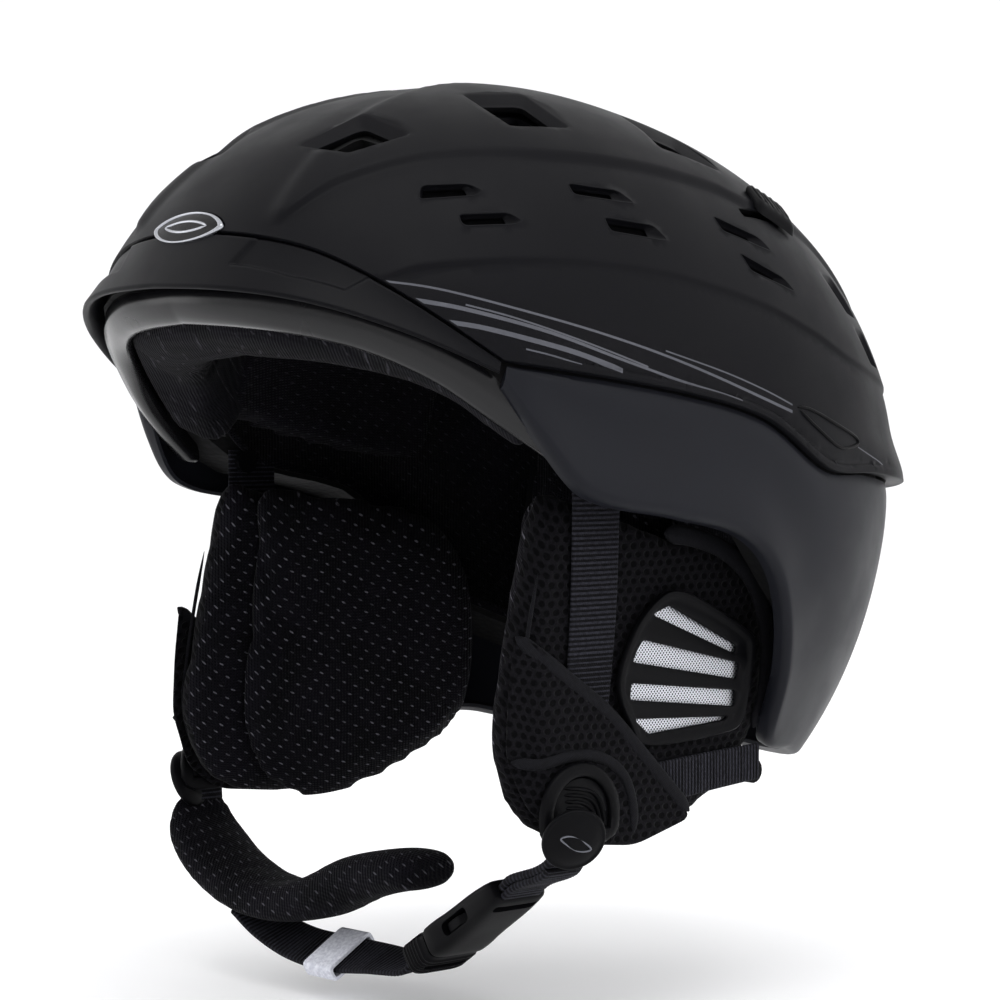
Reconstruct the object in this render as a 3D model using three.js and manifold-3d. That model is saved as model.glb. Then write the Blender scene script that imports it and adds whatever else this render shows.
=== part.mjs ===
// A ski helmet, buckled, as it sits on a head that looks a little upward.
// Millimetres. +X is the wearer's left, -Y is the front, +Z is up. The origin is the centre of
// the head opening, where the shell is widest. Every dome-shaped piece is a stretch of one
// superellipsoid, given by a polar angle from the crown and an azimuth from the front.
import * as THREE from "three";
import { mergeVertices } from "three/addons/utils/BufferGeometryUtils.js";
import Module from "manifold-3d";

const wasm = await Module();
wasm.setup();

// ---------- driving dimensions ----------
const TILT = 11.5; // degrees that the brow is raised above the head opening
const SHELL = { half: 110, front: 145, back: 144, top: 118, below: 150 }; // outer surface
const CAVITY = { half: 87, front: 108, back: 114, top: 99, below: 175 }; // inside of the foam
const PLAN_POWER = 2.26; // roundness seen from above
const RISE_POWER = 2.1; // roundness seen from the side
const SHELL_WALL = 2.4;
const FIT = 1; // air between two curved pieces
const SEAM_GAP = 0.35; // degrees between two shell pieces
const CORNER = 48; // azimuth where the brim, the upper and the lower shell meet
const PAD_FACE = 84; // outer face of an ear pad
const STRAP = 1.5; // thickness of webbing
const STEP = 0.4; // air between flat layers
const SWING = { y: -50, z: -109 }; // the line that the chin strap swings on
const BUCKLE = { x: 37, z: -148, rise: 33.5, width: 21, thick: 8.6 }; // its mouth, and its slope

// ---------- materials ----------
const finish = (color, roughness, metalness = 0) =>
  new THREE.MeshStandardMaterial({ color, roughness, metalness });
const MATTE_SHELL = finish(0x26262a, 0.5);
const WING_SHELL = finish(0x2c2c33, 0.45);
const GREY_TRIM = finish(0x4a4a4e, 0.3);
const FOAM = finish(0x141416, 0.95);
const KNIT = finish(0x17161c, 0.95);
const MESH_FABRIC = finish(0x1c1b22, 0.9);
const WEBBING = finish(0x1b1b20, 0.8);
const HARD_PLASTIC = finish(0x1d1d20, 0.4);
const METAL_GAUZE = finish(0xa8a8ae, 0.35, 0.8);
const STEEL = finish(0x8d8d92, 0.3, 0.9);
const LABEL = finish(0xc4c4d0, 0.7);

// ---------- the dome ----------
const radians = (degrees) => (degrees * Math.PI) / 180;
const tilted = (point) => point.applyAxisAngle(new THREE.Vector3(1, 0, 0), -radians(TILT));

function norm(form, off, x, y, z) {
  const plan = Math.abs(x / (form.half + off)) ** PLAN_POWER
    + Math.abs(y / ((y < 0 ? form.front : form.back) + off)) ** PLAN_POWER;
  const rise = Math.abs(z / ((z < 0 ? form.below : form.top) + off)) ** RISE_POWER;
  return (plan ** (RISE_POWER / PLAN_POWER) + rise) ** (1 / RISE_POWER);
}

// The point of a form, grown by off, in a direction from its centre.
function domePoint(form, polar, azimuth, off) {
  const p = radians(polar);
  const a = radians(azimuth);
  const d = new THREE.Vector3(Math.sin(p) * Math.sin(a), -Math.sin(p) * Math.cos(a), Math.cos(p));
  return tilted(d.divideScalar(norm(form, off, d.x, d.y, d.z)));
}

// The point of the shell, grown by off, above a place (x, y) in the dome's own level plane.
function roofPoint(x, y, off) {
  const plan = norm(SHELL, off, x, y, 0) ** RISE_POWER;
  return tilted(new THREE.Vector3(x, y, (SHELL.top + off) * (1 - plan) ** (1 / RISE_POWER)));
}

// A smooth curve of polar angle over azimuth through a few knots, the same on both sides.
function edge(...knots) {
  const slope = (i) => {
    const a = knots[Math.max(i - 1, 0)];
    const b = knots[Math.min(i + 1, knots.length - 1)];
    return (b[1] - a[1]) / (b[0] - a[0]);
  };
  return (azimuth) => {
    const a = Math.abs(azimuth > 180 ? azimuth - 360 : azimuth);
    let i = 0;
    while (i < knots.length - 2 && a > knots[i + 1][0]) i += 1;
    const [a0, p0] = knots[i];
    const [a1, p1] = knots[i + 1];
    const w = a1 - a0;
    const t = Math.min(Math.max((a - a0) / w, 0), 1);
    return p0 * (1 + 2 * t) * (1 - t) ** 2 + slope(i) * w * t * (1 - t) ** 2
      + p1 * t * t * (3 - 2 * t) + slope(i + 1) * w * t * t * (t - 1);
  };
}

const frontSeam = edge([0, 72], [20, 73.6], [32, 77], [CORNER, 83.6]);
const sideSeam = edge([CORNER, 83.6], [80, 81], [97, 81.5], [114, 86.5], [128, 85], [150, 84], [180, 84]);
const seam = (azimuth) =>
  (Math.abs(azimuth > 180 ? azimuth - 360 : azimuth) <= CORNER ? frontSeam : sideSeam)(azimuth);
const lip = edge([0, 80], [22, 80.6], [36, 82.4], [CORNER, 85]);
const wingEdge = edge([CORNER, 85], [56, 92.5], [64, 98], [80, 98.4], [96, 99], [106, 104],
  [116, 116], [124, 126], [136, 125], [180, 121]);
const frameEdge = edge([0, 82.5], [26, 83.8], [38, 86.5], [48, 91], [60, 96.5]);
const foamEdge = edge([0, 78.6], [26, 79.8], [38, 82], [48, 86], [60, 93], [70, 96.5], [96, 97],
  [106, 101], [116, 109], [128, 114], [180, 117]);

// ---------- solids ----------
function geometryOf(vertices, triangles) {
  const g = new THREE.BufferGeometry();
  g.setAttribute("position", new THREE.Float32BufferAttribute(vertices.flatMap((v) => v.toArray()), 3));
  g.setIndex(triangles);
  return g;
}

function welded(geometry) {
  if (geometry.index && !geometry.attributes.normal) return geometry;
  const bare = geometry.clone();
  bare.deleteAttribute("normal");
  bare.deleteAttribute("uv");
  return mergeVertices(bare, 1e-3);
}

function solidOf(geometry) {
  const g = welded(geometry);
  return new wasm.Manifold(new wasm.Mesh({
    numProp: 3,
    vertProperties: new Float32Array(g.attributes.position.array),
    triVerts: new Uint32Array(g.index.array),
  }));
}

function reversed(geometry) {
  const g = geometry.clone();
  g.setIndex([...g.index.array].reverse());
  return g;
}

function geometryFrom(solid) {
  const m = solid.getMesh();
  const g = new THREE.BufferGeometry();
  g.setAttribute("position", new THREE.BufferAttribute(new Float32Array(m.vertProperties), 3));
  g.setIndex(new THREE.BufferAttribute(new Uint32Array(m.triVerts), 1));
  return g;
}

const cut = (geometry, ...cutters) =>
  geometryFrom(cutters.reduce((s, c) => s.subtract(solidOf(c)), solidOf(geometry)));
const join = (geometry, ...others) =>
  geometryFrom(others.reduce((s, o) => s.add(solidOf(o)), solidOf(geometry)));

// A closed skin between two grids of points. Rows run down and columns run to the wearer's left
// as seen from the front. A ring closes on itself, and a cap starts from one point.
function skin(rows, columns, outer, inner, { ring = false, cap = false } = {}) {
  const vertices = [];
  const triangles = [];
  const across = ring ? columns : columns + 1;
  const layer = (at) => {
    const index = [];
    for (let i = 0; i <= rows; i += 1) {
      index.push([]);
      for (let j = 0; j < across; j += 1) {
        if (!(cap && i === 0 && j > 0)) vertices.push(at(i / rows, j / columns));
        index[i].push(vertices.length - 1);
      }
    }
    return (i, j) => index[i][j % across];
  };
  const P = layer(outer);
  const Q = layer(inner);
  const quad = (a, b, c, d) => {
    if (a !== b && b !== c && c !== a) triangles.push(a, b, c);
    if (a !== c && c !== d && d !== a) triangles.push(a, c, d);
  };
  for (let j = 0; j < columns; j += 1) {
    for (let i = 0; i < rows; i += 1) {
      quad(P(i, j), P(i + 1, j), P(i + 1, j + 1), P(i, j + 1));
      quad(Q(i, j), Q(i, j + 1), Q(i + 1, j + 1), Q(i + 1, j));
    }
    if (!cap) quad(Q(0, j), P(0, j), P(0, j + 1), Q(0, j + 1));
    quad(P(rows, j + 1), P(rows, j), Q(rows, j), Q(rows, j + 1));
  }
  for (let i = 0; i < rows && !ring; i += 1) {
    quad(P(i + 1, 0), P(i, 0), Q(i, 0), Q(i + 1, 0));
    quad(P(i, columns), P(i + 1, columns), Q(i + 1, columns), Q(i, columns));
  }
  return geometryOf(vertices, triangles);
}

// A stretch of dome between two azimuths and two polar edges, from one depth to another.
function domePiece({ from = 0, to = 360, top = () => 0, bottom, rows, columns, outer, inner }) {
  const at = (side) => (u, v) => {
    const azimuth = from + (to - from) * v;
    const polar = top(azimuth) + (bottom(azimuth) - top(azimuth)) * u;
    const { form = SHELL, off } = side(u, azimuth);
    return domePoint(form, polar, azimuth, off);
  };
  const ring = to - from === 360;
  return skin(rows, columns, at(outer), at(inner), { ring, cap: ring && top(0) === 0 });
}

const depth = (off, form = SHELL) => () => ({ form, off });

// A plug through the dome: a convex outline of [polar, azimuth] corners, between two depths.
function plug(corners, deep, high) {
  const ring = (off) => corners.map(([p, a]) => domePoint(SHELL, p, a, off));
  const n = corners.length;
  const triangles = [];
  for (let i = 0; i < n; i += 1) {
    const j = (i + 1) % n;
    triangles.push(i, n + j, n + i, i, j, n + j);
    if (i > 0 && i < n - 1) triangles.push(0, i + 1, i, n, n + i, n + i + 1);
  }
  const g = geometryOf([...ring(deep), ...ring(high)], triangles);
  if (solidOf(g).volume() > 0) return g;
  return geometryOf([...ring(deep), ...ring(high)], triangles.reverse());
}

// Shapes drawn in the Y-Z plane and extruded along X, from x0 to x1.
function sidePlate(outline, x0, x1, holes = []) {
  const points = (corners) => corners.map(([y, z]) => new THREE.Vector2(y, z));
  const contour = points(outline);
  if (THREE.ShapeUtils.isClockWise(contour)) contour.reverse();
  const shape = new THREE.Shape(contour);
  shape.holes = holes.map((h) => new THREE.Path(points(h)));
  const g = new THREE.ExtrudeGeometry(shape, { depth: Math.abs(x1 - x0), bevelEnabled: false });
  g.applyMatrix4(new THREE.Matrix4().makeBasis(
    new THREE.Vector3(0, 1, 0), new THREE.Vector3(0, 0, 1), new THREE.Vector3(1, 0, 0)));
  return g.translate(Math.min(x0, x1), 0, 0);
}

// The points of a closed smooth outline through a few corners.
function rounded(corners, divisions) {
  const curve = new THREE.CatmullRomCurve3(
    corners.map(([y, z]) => new THREE.Vector3(y, z, 0)), true, "centripetal");
  return curve.getSpacedPoints(divisions).slice(0, -1).map((p) => [p.x, p.y]);
}

const box = (x, y, z, at = [0, 0, 0]) => new THREE.BoxGeometry(x, y, z).translate(...at);

// A cylinder along X.
const disc = (r, x0, x1, y, z, sides = 20) =>
  new THREE.CylinderGeometry(r, r, Math.abs(x1 - x0), sides)
    .rotateZ(Math.PI / 2).translate((x0 + x1) / 2, y, z);

// A strap or pad swept along a path in the X-Z plane: each stop is [x, z, thickness, width].
function swept(stops, sides, division = 3) {
  const line = new THREE.CatmullRomCurve3(stops.map(([x, z]) => new THREE.Vector3(x, 0, z)), false, "centripetal");
  const rows = (stops.length - 1) * division;
  const at = (depthShare) => (u, v) => {
    const place = u * (stops.length - 1);
    const i = Math.min(Math.floor(place), stops.length - 2);
    const size = (k) => stops[i][k] + (stops[i + 1][k] - stops[i][k]) * (place - i);
    const centre = line.getPoint(u);
    const along = line.getTangent(u);
    const normal = new THREE.Vector3(-along.z, 0, along.x);
    const turn = 2 * Math.PI * v;
    const corner = (t) => Math.sign(t) * Math.abs(t) ** 0.5;
    return centre.addScaledVector(normal, (corner(Math.cos(turn)) * size(2) / 2) * depthShare)
      .add(new THREE.Vector3(0, (corner(Math.sin(turn)) * size(3) / 2) * depthShare, 0));
  };
  const outer = at(1);
  const vertices = [];
  const triangles = [];
  for (let i = 0; i <= rows; i += 1)
    for (let j = 0; j < sides; j += 1) vertices.push(outer(i / rows, j / sides));
  for (let i = 0; i < rows; i += 1)
    for (let j = 0; j < sides; j += 1) {
      const k = (j + 1) % sides;
      const [a, b, c, d] = [i * sides + j, i * sides + k, (i + 1) * sides + k, (i + 1) * sides + j];
      triangles.push(a, b, c, a, c, d);
    }
  for (let j = 1; j < sides - 1; j += 1) {
    const last = rows * sides;
    triangles.push(0, j + 1, j, last, last + j, last + j + 1);
  }
  const g = geometryOf(vertices, triangles);
  return (solidOf(g).volume() > 0 ? g : geometryOf(vertices, triangles.reverse()))
    .translate(0, SWING.y, 0);
}

const helmet = new THREE.Group();
function add(name, geometry, material, parent = helmet) {
  const mesh = new THREE.Mesh(geometry, material);
  mesh.name = name;
  parent.add(mesh);
  return mesh;
}

// The same piece on both sides: drawn for the left, mirrored for the right.
function mirrored(geometry) {
  return reversed(welded(geometry).clone().scale(-1, 1, 1));
}
function addPair(name, geometry, material) {
  add(`${name}_left`, geometry, material);
  add(`${name}_right`, mirrored(geometry), material);
}

// ---------- vents ----------
const flip = (corners) => corners.map(([p, a]) => [p, -a]).reverse();
const LARGE_VENTS = [
  [[58, 13], [52, 17], [54, 25], [59, 20]],
  [[40, 31], [34, 39], [38, 50], [44, 43]],
  [[25, 72], [32, 84], [33, 106], [25, 112]],
];
const SLIT_VENTS = [
  [[62.5, 31], [59, 39], [60.5, 41], [64, 33]],
  [[65, 37], [62, 45], [63.5, 48], [67, 39]],
  [[53, 54], [50.5, 65], [52.5, 68], [55, 56]],
  [[57.5, 60], [55, 72], [57, 75], [60, 63]],
  [[47.5, 88], [49, 102], [51.5, 105], [50, 91]],
  [[54, 92], [56, 106], [58.5, 109], [57, 95]],
];
const REAR_VENTS = [
  [[53, 128], [53, 134], [67, 141], [67, 136]],
  [[58, 158], [58, 172], [72, 172], [72, 160]],
];
const bothSides = (vents) => vents.flatMap((v) => [v, flip(v)]);
const THROUGH = -60;
const OUTSIDE = 20;
const SLIT_POCKET = -11;

// ---------- upper shell, with its vents and the slots of the two vent regulators ----------
const KNOB = { x: 73, y: 37, wide: 9, long: 26 }; // place in the dome's level plane
const TRAVEL = 12; // how far a regulator slides forward
const NECK = { wide: 4, long: 9 };
// A block that follows the shell over a rectangle of the dome's level plane.
function roofBlock(x0, x1, y0, y1, low, high, rows, columns) {
  const at = (off) => (u, v) => roofPoint(x0 + (x1 - x0) * v, y0 + (y1 - y0) * u, off);
  const g = skin(rows, columns, at(high), at(low));
  return solidOf(g).volume() > 0 ? g : reversed(g);
}
const slot = roofBlock(KNOB.x - NECK.wide / 2 - 1, KNOB.x + NECK.wide / 2 + 1,
  KNOB.y - NECK.long / 2 - TRAVEL - 1.5, KNOB.y + NECK.long / 2 + 1.5, -6, 6, 2, 1);
const BADGE = { polar: 72, halfAzimuth: 8.6, halfPolar: 3 };
const badgeOutline = (grow) => Array.from({ length: 16 }, (_, i) => {
  const t = (i / 16) * 2 * Math.PI;
  return [BADGE.polar - 0.6 + (BADGE.halfPolar + grow) * Math.sin(t),
    (BADGE.halfAzimuth + grow) * Math.cos(t)];
});
const badgePocket = plug(badgeOutline(0.35), -1.7, OUTSIDE);

const upperBlank = domePiece({
  bottom: (a) => seam(a) - SEAM_GAP,
  rows: 9,
  columns: 45,
  outer: depth(0),
  inner: depth(-SHELL_WALL),
});
const throughVents = bothSides([...LARGE_VENTS, ...REAR_VENTS]).map((v) => plug(v, THROUGH, OUTSIDE));
const slitCutters = bothSides(SLIT_VENTS).map((v) => plug(v, SLIT_POCKET, OUTSIDE));
add("upper_shell", cut(upperBlank, ...throughVents, ...slitCutters, badgePocket, slot, mirrored(slot)), MATTE_SHELL);
add("front_badge", plug(badgeOutline(0), -1.2, 1), STEEL);

// ---------- lower shell: the wings and the back ----------
const LOWER_STEP = -1.2; // it lies a little inside the upper shell
add("lower_shell", domePiece({
  from: CORNER + SEAM_GAP,
  to: 360 - CORNER - SEAM_GAP,
  top: (a) => seam(a) + SEAM_GAP,
  bottom: wingEdge,
  rows: 5,
  columns: 56,
  outer: depth(LOWER_STEP),
  inner: depth(LOWER_STEP - SHELL_WALL),
}), WING_SHELL);

// ---------- brim, with the air gap behind its lip ----------
const BRIM_FLARE = 8;
const flare = (u, azimuth) => BRIM_FLARE * u * u * Math.cos(radians((azimuth / CORNER) * 90)) ** 0.6;
add("brim", cut(domePiece({
  from: -CORNER,
  to: CORNER,
  top: (a) => seam(a) + SEAM_GAP,
  bottom: lip,
  rows: 4,
  columns: 24,
  outer: (u, a) => ({ off: flare(u, a) }),
  inner: (u, a) => ({ off: flare(u, a) - SHELL_WALL }),
}), badgePocket), MATTE_SHELL);
const FRAME_WALL = 7;
add("brow_frame", domePiece({
  from: -60,
  to: 60,
  top: (a) => foamEdge(a) + SEAM_GAP,
  bottom: frameEdge,
  rows: 3,
  columns: 24,
  outer: (u, a) => ({ off: -5 - 9 * u * Math.cos(radians(a)) }),
  inner: (u, a) => ({ off: -5 - FRAME_WALL - 9 * u * Math.cos(radians(a)) }),
}), GREY_TRIM);

// ---------- vent regulators: a knob on the shell and the shutter that it moves ----------
const SHUTTER = { x0: 38, x1: 68, y0: -78, y1: 47, top: -4.6, wall: 1.6 };
const ARM = { x0: 60, x1: 78, y0: 27, y1: 47 };
const shutterBand = (r) => roofBlock(r.x0, r.x1, r.y0, r.y1, SHUTTER.top - SHUTTER.wall, SHUTTER.top, 6, 3);
const windows = [[41, 62, -71, -47], [46, 65.5, -19, 22]].map(([x0, x1, y0, y1]) =>
  roofBlock(x0, x1, y0, y1, -12, OUTSIDE, 3, 1));
addPair("vent_shutter", cut(join(shutterBand(SHUTTER), shutterBand(ARM)), ...windows), HARD_PLASTIC);
const knobHead = roofBlock(KNOB.x - KNOB.wide / 2, KNOB.x + KNOB.wide / 2,
  KNOB.y - KNOB.long / 2, KNOB.y + KNOB.long / 2, 0.9, 4, 3, 2);
const knobNeck = roofBlock(KNOB.x - NECK.wide / 2, KNOB.x + NECK.wide / 2,
  KNOB.y - NECK.long / 2, KNOB.y + NECK.long / 2, SHUTTER.top + STEP, 2, 1, 1);
addPair("vent_knob", join(knobHead, knobNeck), HARD_PLASTIC);

// ---------- foam liner, with the vent channels and the pockets of the shutters ----------
const FOAM_FACE = -(SHELL_WALL + FIT);
const PAD = { thick: 14, outline: [[-46, -7], [-58, -9], [-66, -36], [-72, -66], [-73, -86], [-64, -104],
  [-48, -114], [-20, -116], [8, -109], [26, -98], [38, -84], [45, -62], [42, -40], [26, -26], [0, -19],
  [-24, -12]] };
const padPocket = sidePlate(rounded(PAD.outline.map(([y, z]) => [y * 1.04 + 1, (z + 60) * 1.04 - 60]), 48),
  PAD_FACE - PAD.thick - 1, PAD_FACE + 4);
const strapPocket = box(9, 27, 16, [82.5, -39, -1]);
const POCKET = 3; // room around a shutter
const shutterPocket = (r) => roofBlock(r.x0 - POCKET, r.x1 + POCKET, r.y0 - TRAVEL - POCKET, r.y1 + POCKET,
  SHUTTER.top - SHUTTER.wall - 2.4, OUTSIDE, 6, 4);
const foamBlank = domePiece({
  bottom: foamEdge,
  rows: 9,
  columns: 45,
  outer: (u, a) => ({ off: FOAM_FACE + (Math.abs(a - 180) < 180 - CORNER + 9 ? LOWER_STEP : 0) }),
  inner: depth(0, CAVITY),
});
const pockets = [SHUTTER, ARM].map(shutterPocket);
add("foam_liner", cut(foamBlank, ...throughVents, ...slitCutters, ...pockets, ...pockets.map(mirrored),
  padPocket, mirrored(padPocket), strapPocket, mirrored(strapPocket)), FOAM);

// ---------- comfort pads inside the foam ----------
const padFaces = { outer: depth(-1.2, CAVITY), inner: depth(-7, CAVITY) };
add("crown_pad", domePiece({
  bottom: () => 20, rows: 2, columns: 18, ...padFaces,
}), KNIT);
add("brow_pad", domePiece({
  from: -40, to: 40, top: () => 56, bottom: (a) => frameEdge(a) + 0.6, rows: 4, columns: 12, ...padFaces,
}), KNIT);
addPair("side_pad", domePiece({
  from: 44, to: 118, top: () => 58, bottom: () => 88, rows: 4, columns: 10, ...padFaces,
}), KNIT);

// ---------- self-adjusting cradle at the back of the head, with its neck roll ----------
const CRADLE = { from: 140, to: 220 };
add("fit_cradle", domePiece({
  ...CRADLE, top: () => 84, bottom: () => 116, rows: 3, columns: 10,
  outer: depth(-8, CAVITY), inner: depth(-9.6, CAVITY),
}), HARD_PLASTIC);
add("neck_roll", domePiece({
  ...CRADLE, top: () => 70, bottom: () => 126, rows: 4, columns: 10,
  outer: depth(-10.4, CAVITY), inner: depth(-19, CAVITY),
}), KNIT);

// ---------- ear pads and what is on them ----------
const LINING = { outer: PAD_FACE - PAD.thick - STEP, thick: 7, outline: [[-30, -9], [-64, -11], [-69, -40],
  [-71, -70], [-68, -90], [-55, -108], [-38, -115], [-22, -118], [2, -115], [24, -108], [42, -99], [50, -84],
  [51, -56], [44, -34], [24, -18]] };
addPair("ear_lining", sidePlate(rounded(LINING.outline, 40), LINING.outer - LINING.thick, LINING.outer), KNIT);
addPair("ear_pad", sidePlate(rounded(PAD.outline, 48), PAD_FACE - PAD.thick, PAD_FACE), MESH_FABRIC);

const layerOne = PAD_FACE + STEP;
const layerTwo = layerOne + STRAP + STEP;
const FLAP_WALL = 1.7;
const layerThree = layerTwo + FLAP_WALL + STEP;
addPair("front_strap", sidePlate([[-47, 2.5], [-51, -96], [-35, -96], [-30, 2.5]], layerOne, layerOne + STRAP), WEBBING);
addPair("rear_strap", sidePlate([[-33, -95], [-33, -109], [40, -104], [40, -91]], layerOne, layerOne + STRAP), WEBBING);
addPair("pad_flap", sidePlate([[-68, -48], [-31, -74], [4, -108], [-20, -115], [-48, -113], [-63, -103],
  [-71.5, -86], [-71, -66]], layerTwo, layerTwo + FLAP_WALL), MESH_FABRIC);
const ANCHOR = { r: 4, thick: 1.9 };
addPair("front_strap_anchor", disc(ANCHOR.r, PAD_FACE - ANCHOR.thick, PAD_FACE + 0.1, -38.5, -1.6, 16), STEEL);
addPair("rear_strap_anchor", disc(ANCHOR.r, PAD_FACE - ANCHOR.thick, PAD_FACE + 0.1, 35.5, -98, 16), STEEL);

// The grille over the ear: a frame with four slots, over a metal gauze.
const GAUZE_WALL = 0.8;
const GRILLE_FACE = 87.8;
const grilleOutline = rounded([[-27, -66], [-20, -50], [-10, -41], [-2, -39], [8, -42], [29, -52.5], [33, -58],
  [30, -72], [27, -81], [19, -84.5], [-14, -86], [-22, -79]], 36);
const GRILLE_SLOTS = [
  [[-12, -46], [-5, -43.5], [25, -57.5], [24, -60]],
  [[-21, -60], [-16, -53.5], [26, -63], [25, -68]],
  [[-22, -71.5], [-21, -66.5], [24.5, -71.5], [24, -76.5]],
  [[-14, -82.5], [-20, -77.5], [21, -79.5], [19, -80.5]],
];
addPair("speaker_gauze", sidePlate(rounded([[-23, -66], [-17, -51], [-8, -43], [8, -45], [27, -55], [28, -72],
  [24, -80], [17, -82], [-13, -83.5], [-20, -76]], 28), layerOne, layerOne + GAUZE_WALL), METAL_GAUZE);
addPair("ear_grille", sidePlate(grilleOutline, layerOne + GAUZE_WALL + STEP, GRILLE_FACE, GRILLE_SLOTS), HARD_PLASTIC);

// ---------- strap dividers, each with a round cap ----------
const DIVIDER = { y: -43, r: 17, top: -89, bottom: -113, wall: 2.8 };
const arch = (r, bottom) => {
  const centre = DIVIDER.top - DIVIDER.r;
  const half = Array.from({ length: 13 }, (_, i) => {
    const t = Math.PI * (i / 12);
    return [DIVIDER.y + r * Math.cos(t), centre + r * Math.sin(t)];
  });
  return [...half, [DIVIDER.y - r, bottom], [DIVIDER.y + r, bottom]];
};
const dividerFrame = cut(
  sidePlate(arch(DIVIDER.r, DIVIDER.bottom), layerThree, layerThree + DIVIDER.wall),
  sidePlate(arch(DIVIDER.r - 5, DIVIDER.bottom + 4.5), layerThree - 1, layerThree + DIVIDER.wall + 1));
addPair("strap_divider", dividerFrame, HARD_PLASTIC);
const lugFace = layerThree + DIVIDER.wall + STEP;
const capFace = lugFace + STRAP + STEP;
const CAP = { r: 10, thick: 4 };
const capProfile = [[0, 0], [CAP.r, 0], [CAP.r, 1.6], [CAP.r * 0.86, CAP.thick * 0.8],
  [CAP.r * 0.5, CAP.thick * 0.97], [0, CAP.thick]].map(([r, h]) => new THREE.Vector2(r, h));
addPair("divider_cap", new THREE.LatheGeometry(capProfile, 24)
  .rotateZ(-Math.PI / 2).translate(capFace, SWING.y, SWING.z), HARD_PLASTIC);

// ---------- chin strap ----------
const lugX = lugFace + STRAP / 2;
const WEB = { thick: STRAP, wide: 15 };
const web = (x, z) => [x, z, WEB.thick, WEB.wide];
const rise = radians(BUCKLE.rise);
// A point in the buckle's own frame: s runs from the mouth towards the socket's end, n outward.
const buckleAt = (s, n) => [BUCKLE.x + s * Math.cos(rise) + n * Math.sin(rise),
  BUCKLE.z + s * Math.sin(rise) - n * Math.cos(rise)];
add("chin_strap_left", swept([web(lugX, SWING.z + 5), web(lugX, -118), web(91.2, -122.6), web(84, -126),
  web(...buckleAt(39.6, -3)), web(...buckleAt(36.6, -1.2))], 4), WEBBING);

function buckleGroup() {
  const g = new THREE.Group();
  g.position.set(BUCKLE.x, SWING.y, BUCKLE.z);
  g.rotation.y = -rise;
  helmet.add(g);
  return g;
}
// In this group X runs along the buckle into the socket, Y is its width, and -Z faces outward.
const buckle = buckleGroup();
const SOCKET = { long: 36, cavity: 27, cavityWide: 16, cavityThick: 4.6 };
const socketBlank = box(SOCKET.long, BUCKLE.width, BUCKLE.thick, [SOCKET.long / 2, 0, 0]);
add("buckle_socket", cut(socketBlank,
  box(SOCKET.cavity + 1, SOCKET.cavityWide, SOCKET.cavityThick, [SOCKET.cavity / 2 - 0.5, 0, 0]),
  box(13, BUCKLE.width + 2, SOCKET.cavityThick, [15.5, 0, 0]),
  box(3, 17, BUCKLE.thick + 2, [31.5, 0, 0])), HARD_PLASTIC, buckle);
const BASE = { long: 12, gap: 0.5 };
const BLADE = { long: 20, wide: 4, thick: 3 };
add("buckle_tongue", join(
  cut(box(BASE.long, BUCKLE.width, BUCKLE.thick, [-BASE.gap - BASE.long / 2, 0, 0]),
    box(2.6, 17, BUCKLE.thick + 2, [-BASE.gap - 7, 0, 0])),
  box(BLADE.long + 2, BLADE.wide, BLADE.thick, [BLADE.long / 2 - BASE.gap - 1, 0, 0])), HARD_PLASTIC, buckle);
const PRONG = { y: 5.2, wall: 2, long: 19, barb: 9.2, barbFrom: 10, thick: 3.4 };
function prong(side) {
  const inside = PRONG.y - PRONG.wall / 2;
  const outline = [[0, inside], [PRONG.long, inside], [PRONG.long, PRONG.y + 1.6], [PRONG.long - 3, PRONG.barb],
    [PRONG.barbFrom, PRONG.barb], [PRONG.barbFrom, PRONG.y + PRONG.wall / 2], [0, PRONG.y + PRONG.wall / 2]];
  const shape = new THREE.Shape(outline.map(([s, y]) => new THREE.Vector2(s, side * y)));
  return new THREE.ExtrudeGeometry(shape, { depth: PRONG.thick, bevelEnabled: false })
    .translate(0, 0, -PRONG.thick / 2);
}
add("prong_front", prong(-1), HARD_PLASTIC, buckle);
add("prong_back", prong(1), HARD_PLASTIC, buckle);

add("chin_strap_right", swept([web(-66, -153), web(-54, -159), web(-38, -163), web(-18, -164),
  web(4, -162.6), web(...buckleAt(-20, 1.5)), web(...buckleAt(-13.4, 0.6))], 4), WEBBING);
add("chin_pad", swept([[-lugX, SWING.z + 5, STRAP, 15], [-lugX, -120.5, STRAP, 15], [-91.8, -124.5, 6, 20],
  [-87, -131.5, 11, 28], [-77, -139.5, 11.5, 30], [-62, -146, 11.5, 30], [-44, -147.5, 11, 30],
  [-25, -142.5, 11.5, 30], [-6, -134, 12, 29], [13, -128.5, 12, 28], [27, -127.5, 8, 20]], 10, 2), KNIT);
const LABEL_AT = { x: -19, z: -163.9, long: 14 };
add("strap_label", cut(box(LABEL_AT.long, 19, 5), box(LABEL_AT.long + 2, 16.6, 3)), LABEL)
  .position.set(LABEL_AT.x, SWING.y, LABEL_AT.z);

// ---------- goggle retainer at the back ----------
const CLIP = { polar: 90, wide: 24, arm: 54, gap: 6, wall: 3, pin: 1.5, bore: 1.95, knuckle: 4 };
const clipGroup = new THREE.Group();
const seat = domePoint(SHELL, CLIP.polar, 180, LOWER_STEP);
const below = domePoint(SHELL, CLIP.polar + 24, 180, LOWER_STEP);
clipGroup.position.copy(seat);
clipGroup.rotation.x = Math.atan2(seat.y - below.y, seat.z - below.z) * -1;
helmet.add(clipGroup);
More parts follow.
